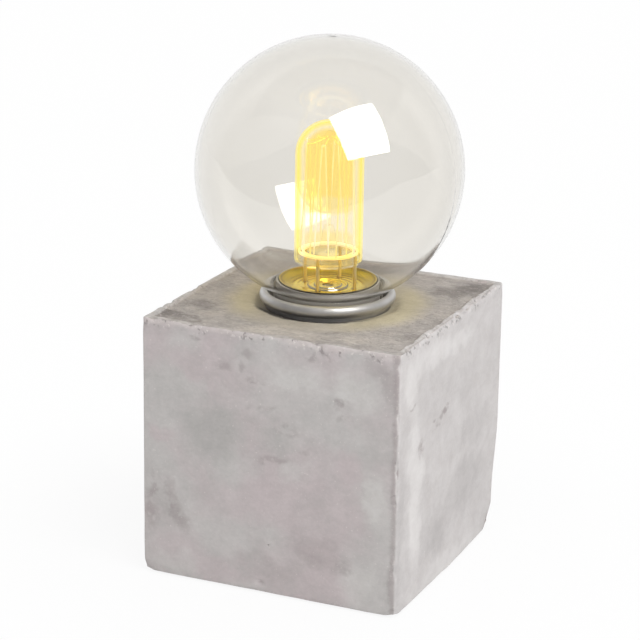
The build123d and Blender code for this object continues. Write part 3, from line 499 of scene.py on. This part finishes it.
# Knocks that the real block shows, in millimetres: place, reach and depth
CHIPS = [
    ((64, 6.5, 126), 4.0, 1.4),
    ((64, 19.2, 126), 3.2, 1.2),
    ((64, -30, 126), 3.0, 1.0),
    ((64, 64, 2), 12.0, 2.2),
    ((64, -64, 1), 6.0, 1.2),
    ((-64, -64, 1), 6.0, 1.2),
    ((23.6, -64, 125), 4.5, 0.9),
    ((-3.5, -64, 5.4), 2.2, 1.4),
    ((35, -64, 98.5), 2.6, 1.1),
    ((64, -36, 74), 3.2, 1.0),
    ((64, -8.9, 83.5), 2.0, 0.8),
]


SMALL_KNOCKS = 46
KNOCK_SEED = 5


def edge_chips():
    """Small knocks along the edges, added to those that the real block shows."""
    spread = random.Random(KNOCK_SEED)
    rows = []
    for _ in range(SMALL_KNOCKS):
        along = spread.uniform(-60, 60)
        up = spread.uniform(6, 122)
        place = spread.choice([
            (along, -64, 126), (along, -64, 126), (64, along, 126),
            (-64, along, 126), (64, -64, up), (64, -64, up),
        ])
        rows.append((place, spread.uniform(1.6, 3.6), spread.uniform(0.3, 0.8)))
    return rows


KNOCKS = [(Vector(place) * MM, size * MM, depth * MM) for place, size, depth in CHIPS + edge_chips()]


def smooth(value, start, end):
    """0 before start, 1 after end, smooth between."""
    t = min(1.0, max(0.0, (value - start) / (end - start)))
    return t * t * (3 - 2 * t)


def lump(point, size, seed=0.0):
    """Smooth noise between 0 and 1."""
    return 0.5 + 0.5 * noise.noise(Vector(point) / size + Vector((seed, seed * 1.7, -seed)))


def mix(first, second, share):
    return first + (second - first) * share


def crowd(step):
    """Grid step as a share from -1 to 1, with more lines near the edges."""
    u = 2 * step / GRID - 1
    return u + 0.3 * u * (1 - u * u)


def top_drop(x, y):
    """How far the trowelled top lies under the rim at a place."""
    edge = BLOCK_HIGH.x - max(abs(x), abs(y))
    rim = (0.8 + 2.6 * lump((x, y, 0), 0.017, 4.0) + 1.6 * lump((x, y, 0), 0.005, 5.0)) * MM
    worn = smooth(-y, 0.040, 0.062)
    inner = smooth(edge, rim, rim + 0.0011)
    drop = LIP * (0.9 * inner + 0.2 * lump((x, y, 0), 0.0035, 7.0))
    drop = max(drop, LIP * 0.8 * worn * (0.4 + 0.6 * lump((x, y, 0), 0.009, 2.0)))
    drop += 0.3 * MM * lump((x, y, 0), 0.014, 9.0) * inner
    ring = math.hypot(x, y) - COLLAR_HIGH.x
    ragged = (0.5 + 3.0 * lump((x, y, 0), 0.006, 1.0)) * MM
    return drop + 1.1 * MM * smooth(ring, ragged, ragged * 0.3 - 0.0002)


# Dents of the cast faces: depth in millimetres, size in metres and seed
DENTS = [(0.45, 0.048, 1.0), (0.32, 0.018, 2.0), (0.10, 0.006, 3.0)]
# How far the far right corner of the foot leans in
LEAN = Vector((1.6, 0.9, 0.0)) * MM


def edge_radius(point, away, half):
    """Rounding of the nearest edge: crisp at two upright edges, rounder at the other two."""
    east = smooth(away.x, -0.03, 0.03)
    north = smooth(away.y, -0.03, 0.03)
    crisp = east * north + (1 - east) * (1 - north)
    radius = mix(1.6, 0.4, crisp) + 0.5 * lump(point, 0.013, 6.0)
    worn = smooth(away.x, half.x - 0.012, half.x - 0.005) * smooth(half.y - abs(away.y), 0.003, 0.012)
    top = 0.5 + 1.2 * lump(point, 0.008, 6.0) + 2.4 * worn
    radius = mix(radius, top, smooth(away.z, half.z - 0.008, half.z - 0.003))
    foot = 0.5 + 1.0 * lump(point, 0.013, 6.0)
    return mix(radius, foot, smooth(-away.z, half.z - 0.008, half.z - 0.003)) * MM


def cast_point(point):
    """Where a point of the perfect box lies on the cast block."""
    middle = (BLOCK_LOW + BLOCK_HIGH) / 2
    half = (BLOCK_HIGH - BLOCK_LOW) / 2
    away = point - middle
    radius = edge_radius(point, away, half)
    core = Vector(max(-h + radius, min(h - radius, a)) for a, h in zip(away, half))
    outward = (away - core).normalized()
    moved = middle + core + outward * radius
    dent = sum(depth * lump(point, size, seed) for depth, size, seed in DENTS)
    if abs(outward.z) > 0.6:
        from_edge = min(half.x - abs(away.x), half.y - abs(away.y))
    else:
        from_edge = half.x - min(abs(away.x), abs(away.y))
    moved -= outward * max(0.0, dent - 0.30) * MM * mix(0.25, 1.0, smooth(from_edge, 0.0, 0.012))
    if outward.z > 0.6:
        moved.z -= top_drop(moved.x, moved.y) * smooth(outward.z, 0.6, 0.95)
    lean = smooth(away.x, 0.0, half.x) * smooth(away.y, 0.0, half.y) * smooth(-point.z, -0.057, -0.020)
    moved -= LEAN * lean
    knocked = (outward + away.normalized() * 0.5).normalized()
    for place, size, depth in KNOCKS:
        near = (point - place).length
        if near < size:
            moved -= knocked * depth * smooth(size - near, 0.0, size)
    return moved


def mesh_object(name, points, faces):
    mesh = bpy.data.meshes.new(name)
    mesh.from_pydata(points, [], faces)
    mesh.validate()
    made = bpy.data.objects.new(name, mesh)
    bpy.context.scene.collection.objects.link(made)
    return made


def skin(name):
    """Box of fine squares with every point put where the cast block has it."""
    index, points, faces = {}, [], []
    span = BLOCK_HIGH - BLOCK_LOW
    middle = (BLOCK_LOW + BLOCK_HIGH) / 2

    def corner(key):
        if key not in index:
            index[key] = len(points)
            share = Vector(crowd(step) for step in key)
            points.append(cast_point(middle + Vector(s * w / 2 for s, w in zip(share, span))))
        return index[key]

    for axis in range(3):
        for side in (0, GRID):
            for i in range(GRID):
                for j in range(GRID):
                    ring = [(i, j), (i + 1, j), (i + 1, j + 1), (i, j + 1)]
                    if side == 0:
                        ring.reverse()
                    if axis == 1:
                        keys = [(b, side, a) for a, b in ring]
                    else:
                        keys = [(a, b)[:axis] + (side,) + (a, b)[axis:] for a, b in ring]
                    faces.append([corner(key) for key in keys])
    return mesh_object(name, points, faces)


def stack(name, rings):
    """Closed solid through rings of equally many points."""
    count = len(rings[0])
    points = [p for ring in rings for p in ring]
    faces = [list(range(count))[::-1], [len(points) - count + i for i in range(count)]]
    for level in range(len(rings) - 1):
        base = level * count
        for i in range(count):
            j = (i + 1) % count
            faces.append([base + i, base + j, base + count + j, base + count + i])
    return mesh_object(name, points, faces)


def circle(radius, height, count=64):
    turn = 2 * math.pi / count
    return [(radius * math.cos(i * turn), radius * math.sin(i * turn), height) for i in range(count)]


def square(half, cut, height, steps=5):
    """Square outline whose corners are rounded by a radius."""
    ring = []
    for quarter in range(4):
        turn = math.radians(90 * quarter)
        x = math.cos(turn + math.pi / 4) * math.sqrt(2) * (half - cut)
        y = math.sin(turn + math.pi / 4) * math.sqrt(2) * (half - cut)
        for k in range(steps + 1):
            angle = turn + math.radians(90 * k / steps)
            ring.append((x + cut * math.cos(angle), y + cut * math.sin(angle), height))
    return ring


def cut_out(body, tool):
    """Takes a tool's shape out of a body and removes the tool."""
    step = body.modifiers.new("cut", "BOOLEAN")
    step.object = tool
    step.solver = "EXACT"
    graph = bpy.context.evaluated_depsgraph_get()
    cut = bpy.data.meshes.new_from_object(body.evaluated_get(graph))
    body.modifiers.clear()
    body.data = cut
    bpy.data.objects.remove(tool)


# Radii of the block's bore, of the cup below it and of the hole for the threaded rod
BORE, CUP, ROD_HOLE = 29.8 * MM, 23.8 * MM, 5.5 * MM
SHELF_Z = TOP - 3.6 * MM
CEILING_Z = TOP - 36.6 * MM
# Cavity over the tray, narrower towards its ceiling, and the rounding of its corners
CAVITY_FOOT, CAVITY_HEAD, CAVITY_CORNER = 46 * MM, 43.8 * MM, 14 * MM
REBATE_CORNER = 4 * MM


def cast_block():
    """Block with its skin, bore and cavity, shown in place of the plain one."""
    block = skin("cast_block")
    _, tray_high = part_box("base_tray")
    cup_floor = COLLAR_LOW.z - 0.6 * MM
    cut_out(block, stack("bore_tool", [
        circle(ROD_HOLE, CEILING_Z - 5 * MM), circle(ROD_HOLE, cup_floor),
        circle(CUP, cup_floor), circle(CUP, SHELF_Z),
        circle(BORE, SHELF_Z), circle(BORE, TOP + 8 * MM),
    ]))
    rebate = tray_high.x + 0.5 * MM
    ledge = BLOCK_LOW.z + 4 * MM
    cut_out(block, stack("cavity_tool", [
        square(rebate, REBATE_CORNER, -5 * MM), square(rebate, REBATE_CORNER, ledge),
        square(CAVITY_FOOT, CAVITY_CORNER, ledge), square(CAVITY_HEAD, CAVITY_CORNER, CEILING_Z),
    ]))
    block.data.shade_smooth()
    block.data.set_sharp_from_angle(angle=math.radians(50))
    block.data.materials.clear()
    block.data.materials.append(concrete())
    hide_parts("concrete_block")
    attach(block, "base")


# Metals, glass, mouldings

def metal(name, first, second, roughness, lines):
    """Bare or plated metal with turned lines."""
    material, tree, surface, _ = finish(name)
    colour = use(tree, CLOUDS, First_colour=tone(*first), Second_colour=tone(*second),
                 Patch_size=0.012, Softness=0.2)
    mask = use(tree, TURNED, Lines_per_metre=lines)["Mask"]
    tree.links.new(colour["Colour"], surface.inputs["Base Color"])
    tree.links.new(between(tree, mask, roughness * 0.8, roughness * 1.25), surface.inputs["Roughness"])
    tree.links.new(relief(tree, mask, 0.00003, 0.5), surface.inputs["Normal"])
    surface.inputs["Metallic"].default_value = 1.0
    return material


def satin_collar():
    """Plated outside; its groove painted matt grey, painted light where the groove lies in shade."""
    material, tree, surface, _ = finish("satin_nickel")
    x, y, _ = axes(tree)
    colour = use(tree, CLOUDS, First_colour=tone(0.62, 0.61, 0.60), Second_colour=tone(0.55, 0.54, 0.53),
                 Patch_size=0.012, Softness=0.2)
    mask = use(tree, TURNED, Lines_per_metre=2600.0)["Mask"]
    groove = fade(tree, from_axis(tree, x, y), 0.0286, 0.0281)
    # Painted light: the shaded groove painted matt grey so that it does not go black
    painted_groove_light = paint(tree, groove, colour["Colour"], tone(0.40, 0.39, 0.385))
    tree.links.new(painted_groove_light, surface.inputs["Base Color"])
    tree.links.new(calc(tree, "SUBTRACT", 1.0, groove), surface.inputs["Metallic"])
    tree.links.new(between(tree, mask, 0.36, 0.52), surface.inputs["Roughness"])
    tree.links.new(relief(tree, mask, 0.00003, 0.5), surface.inputs["Normal"])
    return material


SPINNING_PITCH = 0.0026


def spun_gold():
    """Gold dish with the rings of its spinning, darker up its wall, grey outside."""
    material, tree, surface, _ = finish("gold_dish")
    coords = add(tree, "TexCoord").outputs
    x, y, _ = axes(tree, coords["Object"])
    radius = from_axis(tree, x, y)
    colour = use(tree, CLOUDS, First_colour=tone(1.0, 0.80, 0.10), Second_colour=tone(1.0, 0.74, 0.08),
                 Patch_size=0.01)
    wall = fade(tree, radius, 0.0150, 0.0185)
    gold = paint(tree, wall, colour["Colour"], tone(0.60, 0.43, 0.025))
    facing = axes(tree, coords["Normal"])
    outward = calc(tree, "ADD", times(tree, x, facing[0]), times(tree, y, facing[1]))
    outside = fade(tree, calc(tree, "DIVIDE", outward, radius), 0.1, 0.4)
    tree.links.new(paint(tree, outside, gold, tone(0.40, 0.385, 0.36)), surface.inputs["Base Color"])
    rings = calc(tree, "SINE", times(tree, radius, 2 * math.pi / SPINNING_PITCH))
    mask = use(tree, TURNED, Lines_per_metre=1800.0)["Mask"]
    tree.links.new(between(tree, mask, 0.10, 0.22), surface.inputs["Roughness"])
    tree.links.new(relief(tree, calc(tree, "ADD", rings, mask), 0.00010, 0.7), surface.inputs["Normal"])
    surface.inputs["Metallic"].default_value = 1.0
    return material


def drawn_wire(name, first, second, roughness, glow=0.0):
    """Metal drawn lengthwise, in the glow of the filament where one is given."""
    material, tree, surface, _ = finish(name)
    mask = use(tree, STREAKS, Lines_per_metre=(2500.0, 2500.0, 60.0))["Mask"]
    colour = paint(tree, mask, tone(*first), tone(*second))
    tree.links.new(colour, surface.inputs["Base Color"])
    tree.links.new(colour, surface.inputs["Emission Color"])
    surface.inputs["Emission Strength"].default_value = glow
    tree.links.new(between(tree, mask, roughness * 0.8, roughness * 1.2), surface.inputs["Roughness"])
    surface.inputs["Metallic"].default_value = 1.0
    return material


def moulding(name, first, second, roughness, grain, depth):
    """Plastic, rubber, ceramic or lacquer with a fine grain."""
    material, tree, surface, _ = finish(name)
    colour = use(tree, CLOUDS, First_colour=tone(*first), Second_colour=tone(*second),
                 Patch_size=0.015, Softness=0.25)
    height = use(tree, GRAIN, Grain_size=grain)["Height"]
    dull = between(tree, height, roughness * 0.75, min(1.0, roughness * 1.25))
    tree.links.new(colour["Colour"], surface.inputs["Base Color"])
    tree.links.new(dull, surface.inputs["Roughness"])
    tree.links.new(relief(tree, height, depth), surface.inputs["Normal"])
    return material


def see_through(tree, surface, output, shadow):
    """Lets light through to what stands behind the glass."""
    clear = add(tree, "BsdfTransparent", {0: shadow})
    ray = add(tree, "LightPath").outputs["Is Shadow Ray"]
    both = add(tree, "MixShader", {0: ray, 1: surface.outputs[0], 2: clear.outputs[0]})
    tree.links.new(both.outputs[0], output.inputs["Surface"])


def clear_glass(name, first, second, bend, body=1.0):
    """Clear glass, a little greyer where it is seen edge on."""
    material, tree, surface, output = finish(name)
    colour = use(tree, CLOUDS, First_colour=tone(*first), Second_colour=tone(*second),
                 Patch_size=0.06, Softness=0.25)
    smear = use(tree, CLOUDS, Patch_size=0.02, Softness=0.2, Shift=2.0)["Mask"]
    rim = fade(tree, add(tree, "LayerWeight", {"Blend": 0.5}).outputs["Facing"], 0.36, 0.56)
    edge = paint(tree, rim, colour["Colour"], tone(0.935, 0.935, 0.935), blend="MULTIPLY")
    tree.links.new(edge, surface.inputs["Base Color"])
    tree.links.new(between(tree, smear, 0.0, 0.003), surface.inputs["Roughness"])
    surface.inputs["Transmission Weight"].default_value = 1.0
    surface.inputs["IOR"].default_value = bend
    surface.inputs["Alpha"].default_value = body
    see_through(tree, surface, output, tone(*first))
    return material


AMBER_DEEP = tone(1.0, 0.885, 0.50)
AMBER_PALE = tone(1.0, 0.960, 0.85)
AMBER_RIM = tone(1.0, 0.92, 0.45)
GLOW_DEEP = tone(0.70, 0.52, 0.13)
GLOW_PALE = tone(0.47, 0.40, 0.22)
GLOW_RIM = tone(1.0, 0.80, 0.20)
HAIRPINS = 8
FIRST_HAIRPIN = math.radians(9)


def amber_glass():
    """Tube with an amber wash in its upper half and at its foot, bright where it is seen edge on."""
    material, tree, surface, output = finish("amber_glass")
    z = axes(tree)[2]
    rag = use(tree, GRAIN, Grain_size=0.004)["Height"]
    height = calc(tree, "ADD", z, between(tree, rag, -0.0025, 0.0025))
    washed = most(tree, fade(tree, height, 0.1695, 0.1725), fade(tree, height, 0.1560, 0.1530))
    rim = add(tree, "LayerWeight", {"Blend": 0.5}).outputs["Facing"]
    deep = times(tree, washed, fade(tree, rim, 0.40, 0.24))
    cloud = use(tree, CLOUDS, Patch_size=0.02, Softness=0.3)["Mask"]
    deep = times(tree, deep, between(tree, cloud, 1.0, 0.85))
    outer = fade(tree, rim, 0.36, 0.60)
    amber = paint(tree, outer, paint(tree, deep, AMBER_PALE, AMBER_DEEP), AMBER_RIM)
    glow = paint(tree, outer, paint(tree, deep, GLOW_PALE, GLOW_DEEP), GLOW_RIM)
    tree.links.new(amber, surface.inputs["Base Color"])
    tree.links.new(glow, surface.inputs["Emission Color"])
    tree.links.new(between(tree, cloud, 0.0, 0.03), surface.inputs["Roughness"])
    surface.inputs["Transmission Weight"].default_value = 1.0
    surface.inputs["IOR"].default_value = 1.05
    surface.inputs["Emission Strength"].default_value = 0.105
    see_through(tree, surface, output, AMBER_PALE)
    return material


def glowing_filament():
    """Coated wires, white hot and amber by turns round the axis."""
    material, tree, surface, _ = finish("glowing_filament")
    x, y, _ = axes(tree)
    turn = calc(tree, "SUBTRACT", calc(tree, "ARCTAN2", y, x), FIRST_HAIRPIN)
    white_hot = fade(tree, calc(tree, "COSINE", times(tree, turn, HAIRPINS / 2)), -0.25, 0.25)
    cloud = use(tree, CLOUDS, First_colour=tone(1.0, 0.93, 0.74), Second_colour=tone(1.0, 0.89, 0.64),
                Patch_size=0.004)
    colour = paint(tree, white_hot, tone(1.0, 0.84, 0.42), cloud["Colour"])
    tree.links.new(paint(tree, 0.6, colour, tone(0.0, 0.0, 0.0)), surface.inputs["Base Color"])
    tree.links.new(colour, surface.inputs["Emission Color"])
    tree.links.new(between(tree, cloud["Mask"], 0.5, 0.7), surface.inputs["Roughness"])
    surface.inputs["Emission Strength"].default_value = 0.74
    return material


def dress(material, *names):
    """Gives CAD nodes a material."""
    for name in names:
        mesh = nodes[name].data
        mesh.materials.clear()
        mesh.materials.append(material)


def dress_all():
    dress(satin_collar(), "collar")
    dress(spun_gold(), "reflector_dish")
    dress(metal("zinc_steel", (0.68, 0.69, 0.70), (0.56, 0.57, 0.58), 0.35, 4000.0),
          "threaded_nipple", "nipple_washer", "nipple_nut", "tray_screws", "board_screws")
    dress(metal("brass_fittings", (0.80, 0.60, 0.28), (0.68, 0.50, 0.22), 0.3, 4000.0), "pin_sleeves")
    dress(metal("contact_metal", (0.72, 0.71, 0.68), (0.60, 0.59, 0.57), 0.25, 3000.0),
          "contact_plates", "contact_springs")
    dress(metal("switch_metal", (0.68, 0.68, 0.68), (0.58, 0.58, 0.58), 0.3, 3000.0), "switch_body")
    dress(drawn_wire("pin_wire", (1.0, 0.86, 0.42), (0.92, 0.75, 0.32), 0.45), "lamp_pins")
    dress(drawn_wire("ring_wire", (1.0, 0.91, 0.64), (1.0, 0.88, 0.56), 0.45, 0.55),
          "filament_ring_outer", "filament_ring_inner")
    dress(drawn_wire("hook_wire", (1.0, 0.82, 0.40), (0.95, 0.74, 0.32), 0.55, 0.5), "top_hooks")
    dress(clear_glass("clear_glass", (0.895, 0.88, 0.845), (0.91, 0.895, 0.865), 1.45), "globe")
    dress(clear_glass("stem_glass", (1.0, 0.94, 0.70), (1.0, 0.95, 0.76), 1.04, 0.5),
          "lamp_foot", "support_rod")
    dress(amber_glass(), "lamp_tube")
    dress(glowing_filament(), "filament_hairpins")
    dress(moulding("socket_ceramic", (0.84, 0.81, 0.76), (0.78, 0.75, 0.70), 0.6, 0.0007, 0.00004),
          "lamp_socket")
    dress(moulding("gasket_rubber", (0.64, 0.63, 0.61), (0.58, 0.57, 0.55), 0.7, 0.0006, 0.00004),
          "globe_gasket")
    dress(moulding("pad_rubber", (0.09, 0.09, 0.09), (0.06, 0.06, 0.06), 0.9, 0.0008, 0.00008), "foot_pads")
    dress(moulding("black_plastic", (0.055, 0.055, 0.055), (0.04, 0.04, 0.042), 0.55, 0.0006, 0.00005),
          "base_tray", "battery_door")
    dress(moulding("slider_plastic", (0.11, 0.11, 0.11), (0.085, 0.085, 0.085), 0.5, 0.0005, 0.00003),
          "switch_slider")
    dress(moulding("nylon", (0.74, 0.73, 0.69), (0.68, 0.67, 0.63), 0.5, 0.0006, 0.00003), "screw_plugs")
    dress(moulding("board_green", (0.05, 0.22, 0.10), (0.035, 0.17, 0.075), 0.35, 0.0008, 0.00002),
          "driver_board")
    dress(moulding("component_black", (0.05, 0.05, 0.05), (0.035, 0.035, 0.035), 0.5, 0.0005, 0.00003),
          "board_components")
    dress(moulding("red_wire", (0.58, 0.05, 0.04), (0.48, 0.035, 0.03), 0.4, 0.0006, 0.00002),
          "lamp_wire_positive", "battery_lead_positive")
    dress(moulding("black_wire", (0.045, 0.045, 0.045), (0.03, 0.03, 0.03), 0.4, 0.0006, 0.00002),
          "lamp_wire_negative", "battery_lead_negative")
    dress(moulding("cell_wrap", (0.20, 0.21, 0.23), (0.16, 0.17, 0.19), 0.3, 0.0009, 0.00002),
          "battery_1", "battery_2", "battery_3")


# Studio

AZIMUTH = math.radians(24.051)
ELEVATION = math.radians(17.246)
ROLL = math.radians(0.871)
TARGET = Vector((-0.003131, -0.001397, 0.115229))
DISTANCE = 1.16709
SENSOR_WIDTH = 36.0
LENS = 139.53
GLOBE_MIDDLE = Vector((0.0, 0.0, 0.188))
PANE_GAP = 0.02
FLOOR_HALF = 6.0
WHITE = tone(1.0, 1.0, 1.0)
# Where the white floor ends and the dim room begins, for what polish mirrors, and how dim it is
TABLE_FRONT = -0.52
DIM_ROOM = 0.35


def camera():
    """Camera of the photograph, from the fit of the block's corners and the globe's outline."""
    back = Vector((
        math.sin(AZIMUTH) * math.cos(ELEVATION),
        -math.cos(AZIMUTH) * math.cos(ELEVATION),
        math.sin(ELEVATION),
    ))
    level = Vector((math.cos(AZIMUTH), math.sin(AZIMUTH), 0.0))
    upright = back.cross(level)
    right = math.cos(ROLL) * level + math.sin(ROLL) * upright
    up = math.cos(ROLL) * upright - math.sin(ROLL) * level
    data = bpy.data.cameras.new("camera")
    data.sensor_width = SENSOR_WIDTH
    data.lens = LENS
    made = bpy.data.objects.new("camera", data)
    bpy.context.scene.collection.objects.link(made)
    turn = Matrix((right, up, back)).transposed().to_4x4()
    made.matrix_world = Matrix.Translation(TARGET + back * DISTANCE) @ turn
    bpy.context.scene.camera = made


def softbox(name, towards, across, away, width, height, watts, shine):
    """Rectangular lamp that faces the globe, with a pane behind it that only clear glass mirrors."""
    data = bpy.data.lights.new(name, "AREA")
    data.shape = "RECTANGLE"
    data.size = width
    data.size_y = height
    data.energy = watts
    made = bpy.data.objects.new(name, data)
    bpy.context.scene.collection.objects.link(made)
    back = Vector(towards).normalized()
    side = (Vector(across) - back * back.dot(Vector(across))).normalized()
    turn = Matrix((side, back.cross(side), back)).transposed().to_4x4()
    made.matrix_world = Matrix.Translation(GLOBE_MIDDLE + back * away) @ turn
    corners = [(-width, -height), (width, -height), (width, height), (-width, height)]
    places = [made.matrix_world @ Vector((x / 2, y / 2, PANE_GAP)) for x, y in corners]
    pane = mesh_object(name + "_pane", places, [[0, 1, 2, 3]])
    material, tree, _, output = finish(name + "_pane")
    bright = add(tree, "Emission", {0: WHITE, 1: shine})
    clear = add(tree, "BsdfTransparent", {0: WHITE})
    rays = add(tree, "LightPath").outputs
    once = calc(tree, "LESS_THAN", rays["Glossy Depth"], 1.5)
    mirrored = times(tree, rays["Is Singular Ray"], once)
    both = add(tree, "MixShader", {0: mirrored, 1: clear.outputs[0], 2: bright.outputs[0]})
    tree.links.new(both.outputs[0], output.inputs["Surface"])
    pane.data.materials.append(material)


def reflected(tree):
    """1 for a look by way of a reflection, 0 for a straight look or one through glass."""
    return calc(tree, "GREATER_THAN", add(tree, "LightPath").outputs["Glossy Depth"], 0.5)


def seen_rays(tree):
    """1 for rays that look, straight or by way of glass or polish, and 0 for rays that light."""
    rays = add(tree, "LightPath").outputs
    looks = most(tree, rays["Is Camera Ray"], rays["Is Transmission Ray"])
    return most(tree, looks, rays["Is Glossy Ray"])


def surroundings(level):
    """White sweep behind, dim room in front that shows only in reflections."""
    world = bpy.data.worlds.new("white_room")
    bpy.context.scene.world = world
    world.use_nodes = True
    tree = world.node_tree
    room = tree.nodes["Background"]
    room.inputs["Color"].default_value = WHITE
    way = axes(tree, add(tree, "TexCoord").outputs["Generated"])
    turned = calc(tree, "SUBTRACT", way[1], times(tree, most(tree, way[0], 0.0), 0.8))
    front = times(tree, fade(tree, turned, 0.15, -0.25), fade(tree, way[2], 0.9, 0.5))
    shown = between(tree, times(tree, front, reflected(tree)), 1.0, DIM_ROOM)
    seen = seen_rays(tree)
    lit = calc(tree, "SUBTRACT", 1.0, seen)
    strength = calc(tree, "ADD", times(tree, lit, level), times(tree, seen, shown))
    tree.links.new(strength, room.inputs["Strength"])


def floor():
    """Pale floor that looks white and keeps a faint shadow near the block."""
    corners = [(-1, -1, 0), (1, -1, 0), (1, 1, 0), (-1, 1, 0)]
    made = mesh_object("floor", [Vector(corner) * FLOOR_HALF for corner in corners], [[0, 1, 2, 3]])
    material, tree, surface, output = finish("pale_floor")
    surface.inputs["Base Color"].default_value = tone(0.86, 0.86, 0.86)
    surface.inputs["Roughness"].default_value = 0.9
    x, y, _ = axes(tree)
    beyond = times(tree, calc(tree, "LESS_THAN", y, TABLE_FRONT), reflected(tree))
    white = add(tree, "Emission", {0: WHITE, 1: between(tree, beyond, 1.0, DIM_ROOM)})
    far = between(tree, fade(tree, from_axis(tree, x, y), 0.10, 0.24), 0.90, 0.985)
    share = most(tree, times(tree, seen_rays(tree), far), beyond)
    both = add(tree, "MixShader", {0: share, 1: surface.outputs[0], 2: white.outputs[0]})
    tree.links.new(both.outputs[0], output.inputs["Surface"])
    made.data.materials.append(material)


cast_block()
dress_all()
camera()
softbox(
    "window", towards=(0.624, -0.383, 0.681), across=(0.31, 0.57, 0.01), away=1.5,
    width=1.08, height=1.12, watts=14.7, shine=10.0,
)
surroundings(level=0.7)
floor()
bpy.context.scene.view_settings.view_transform = "Standard"
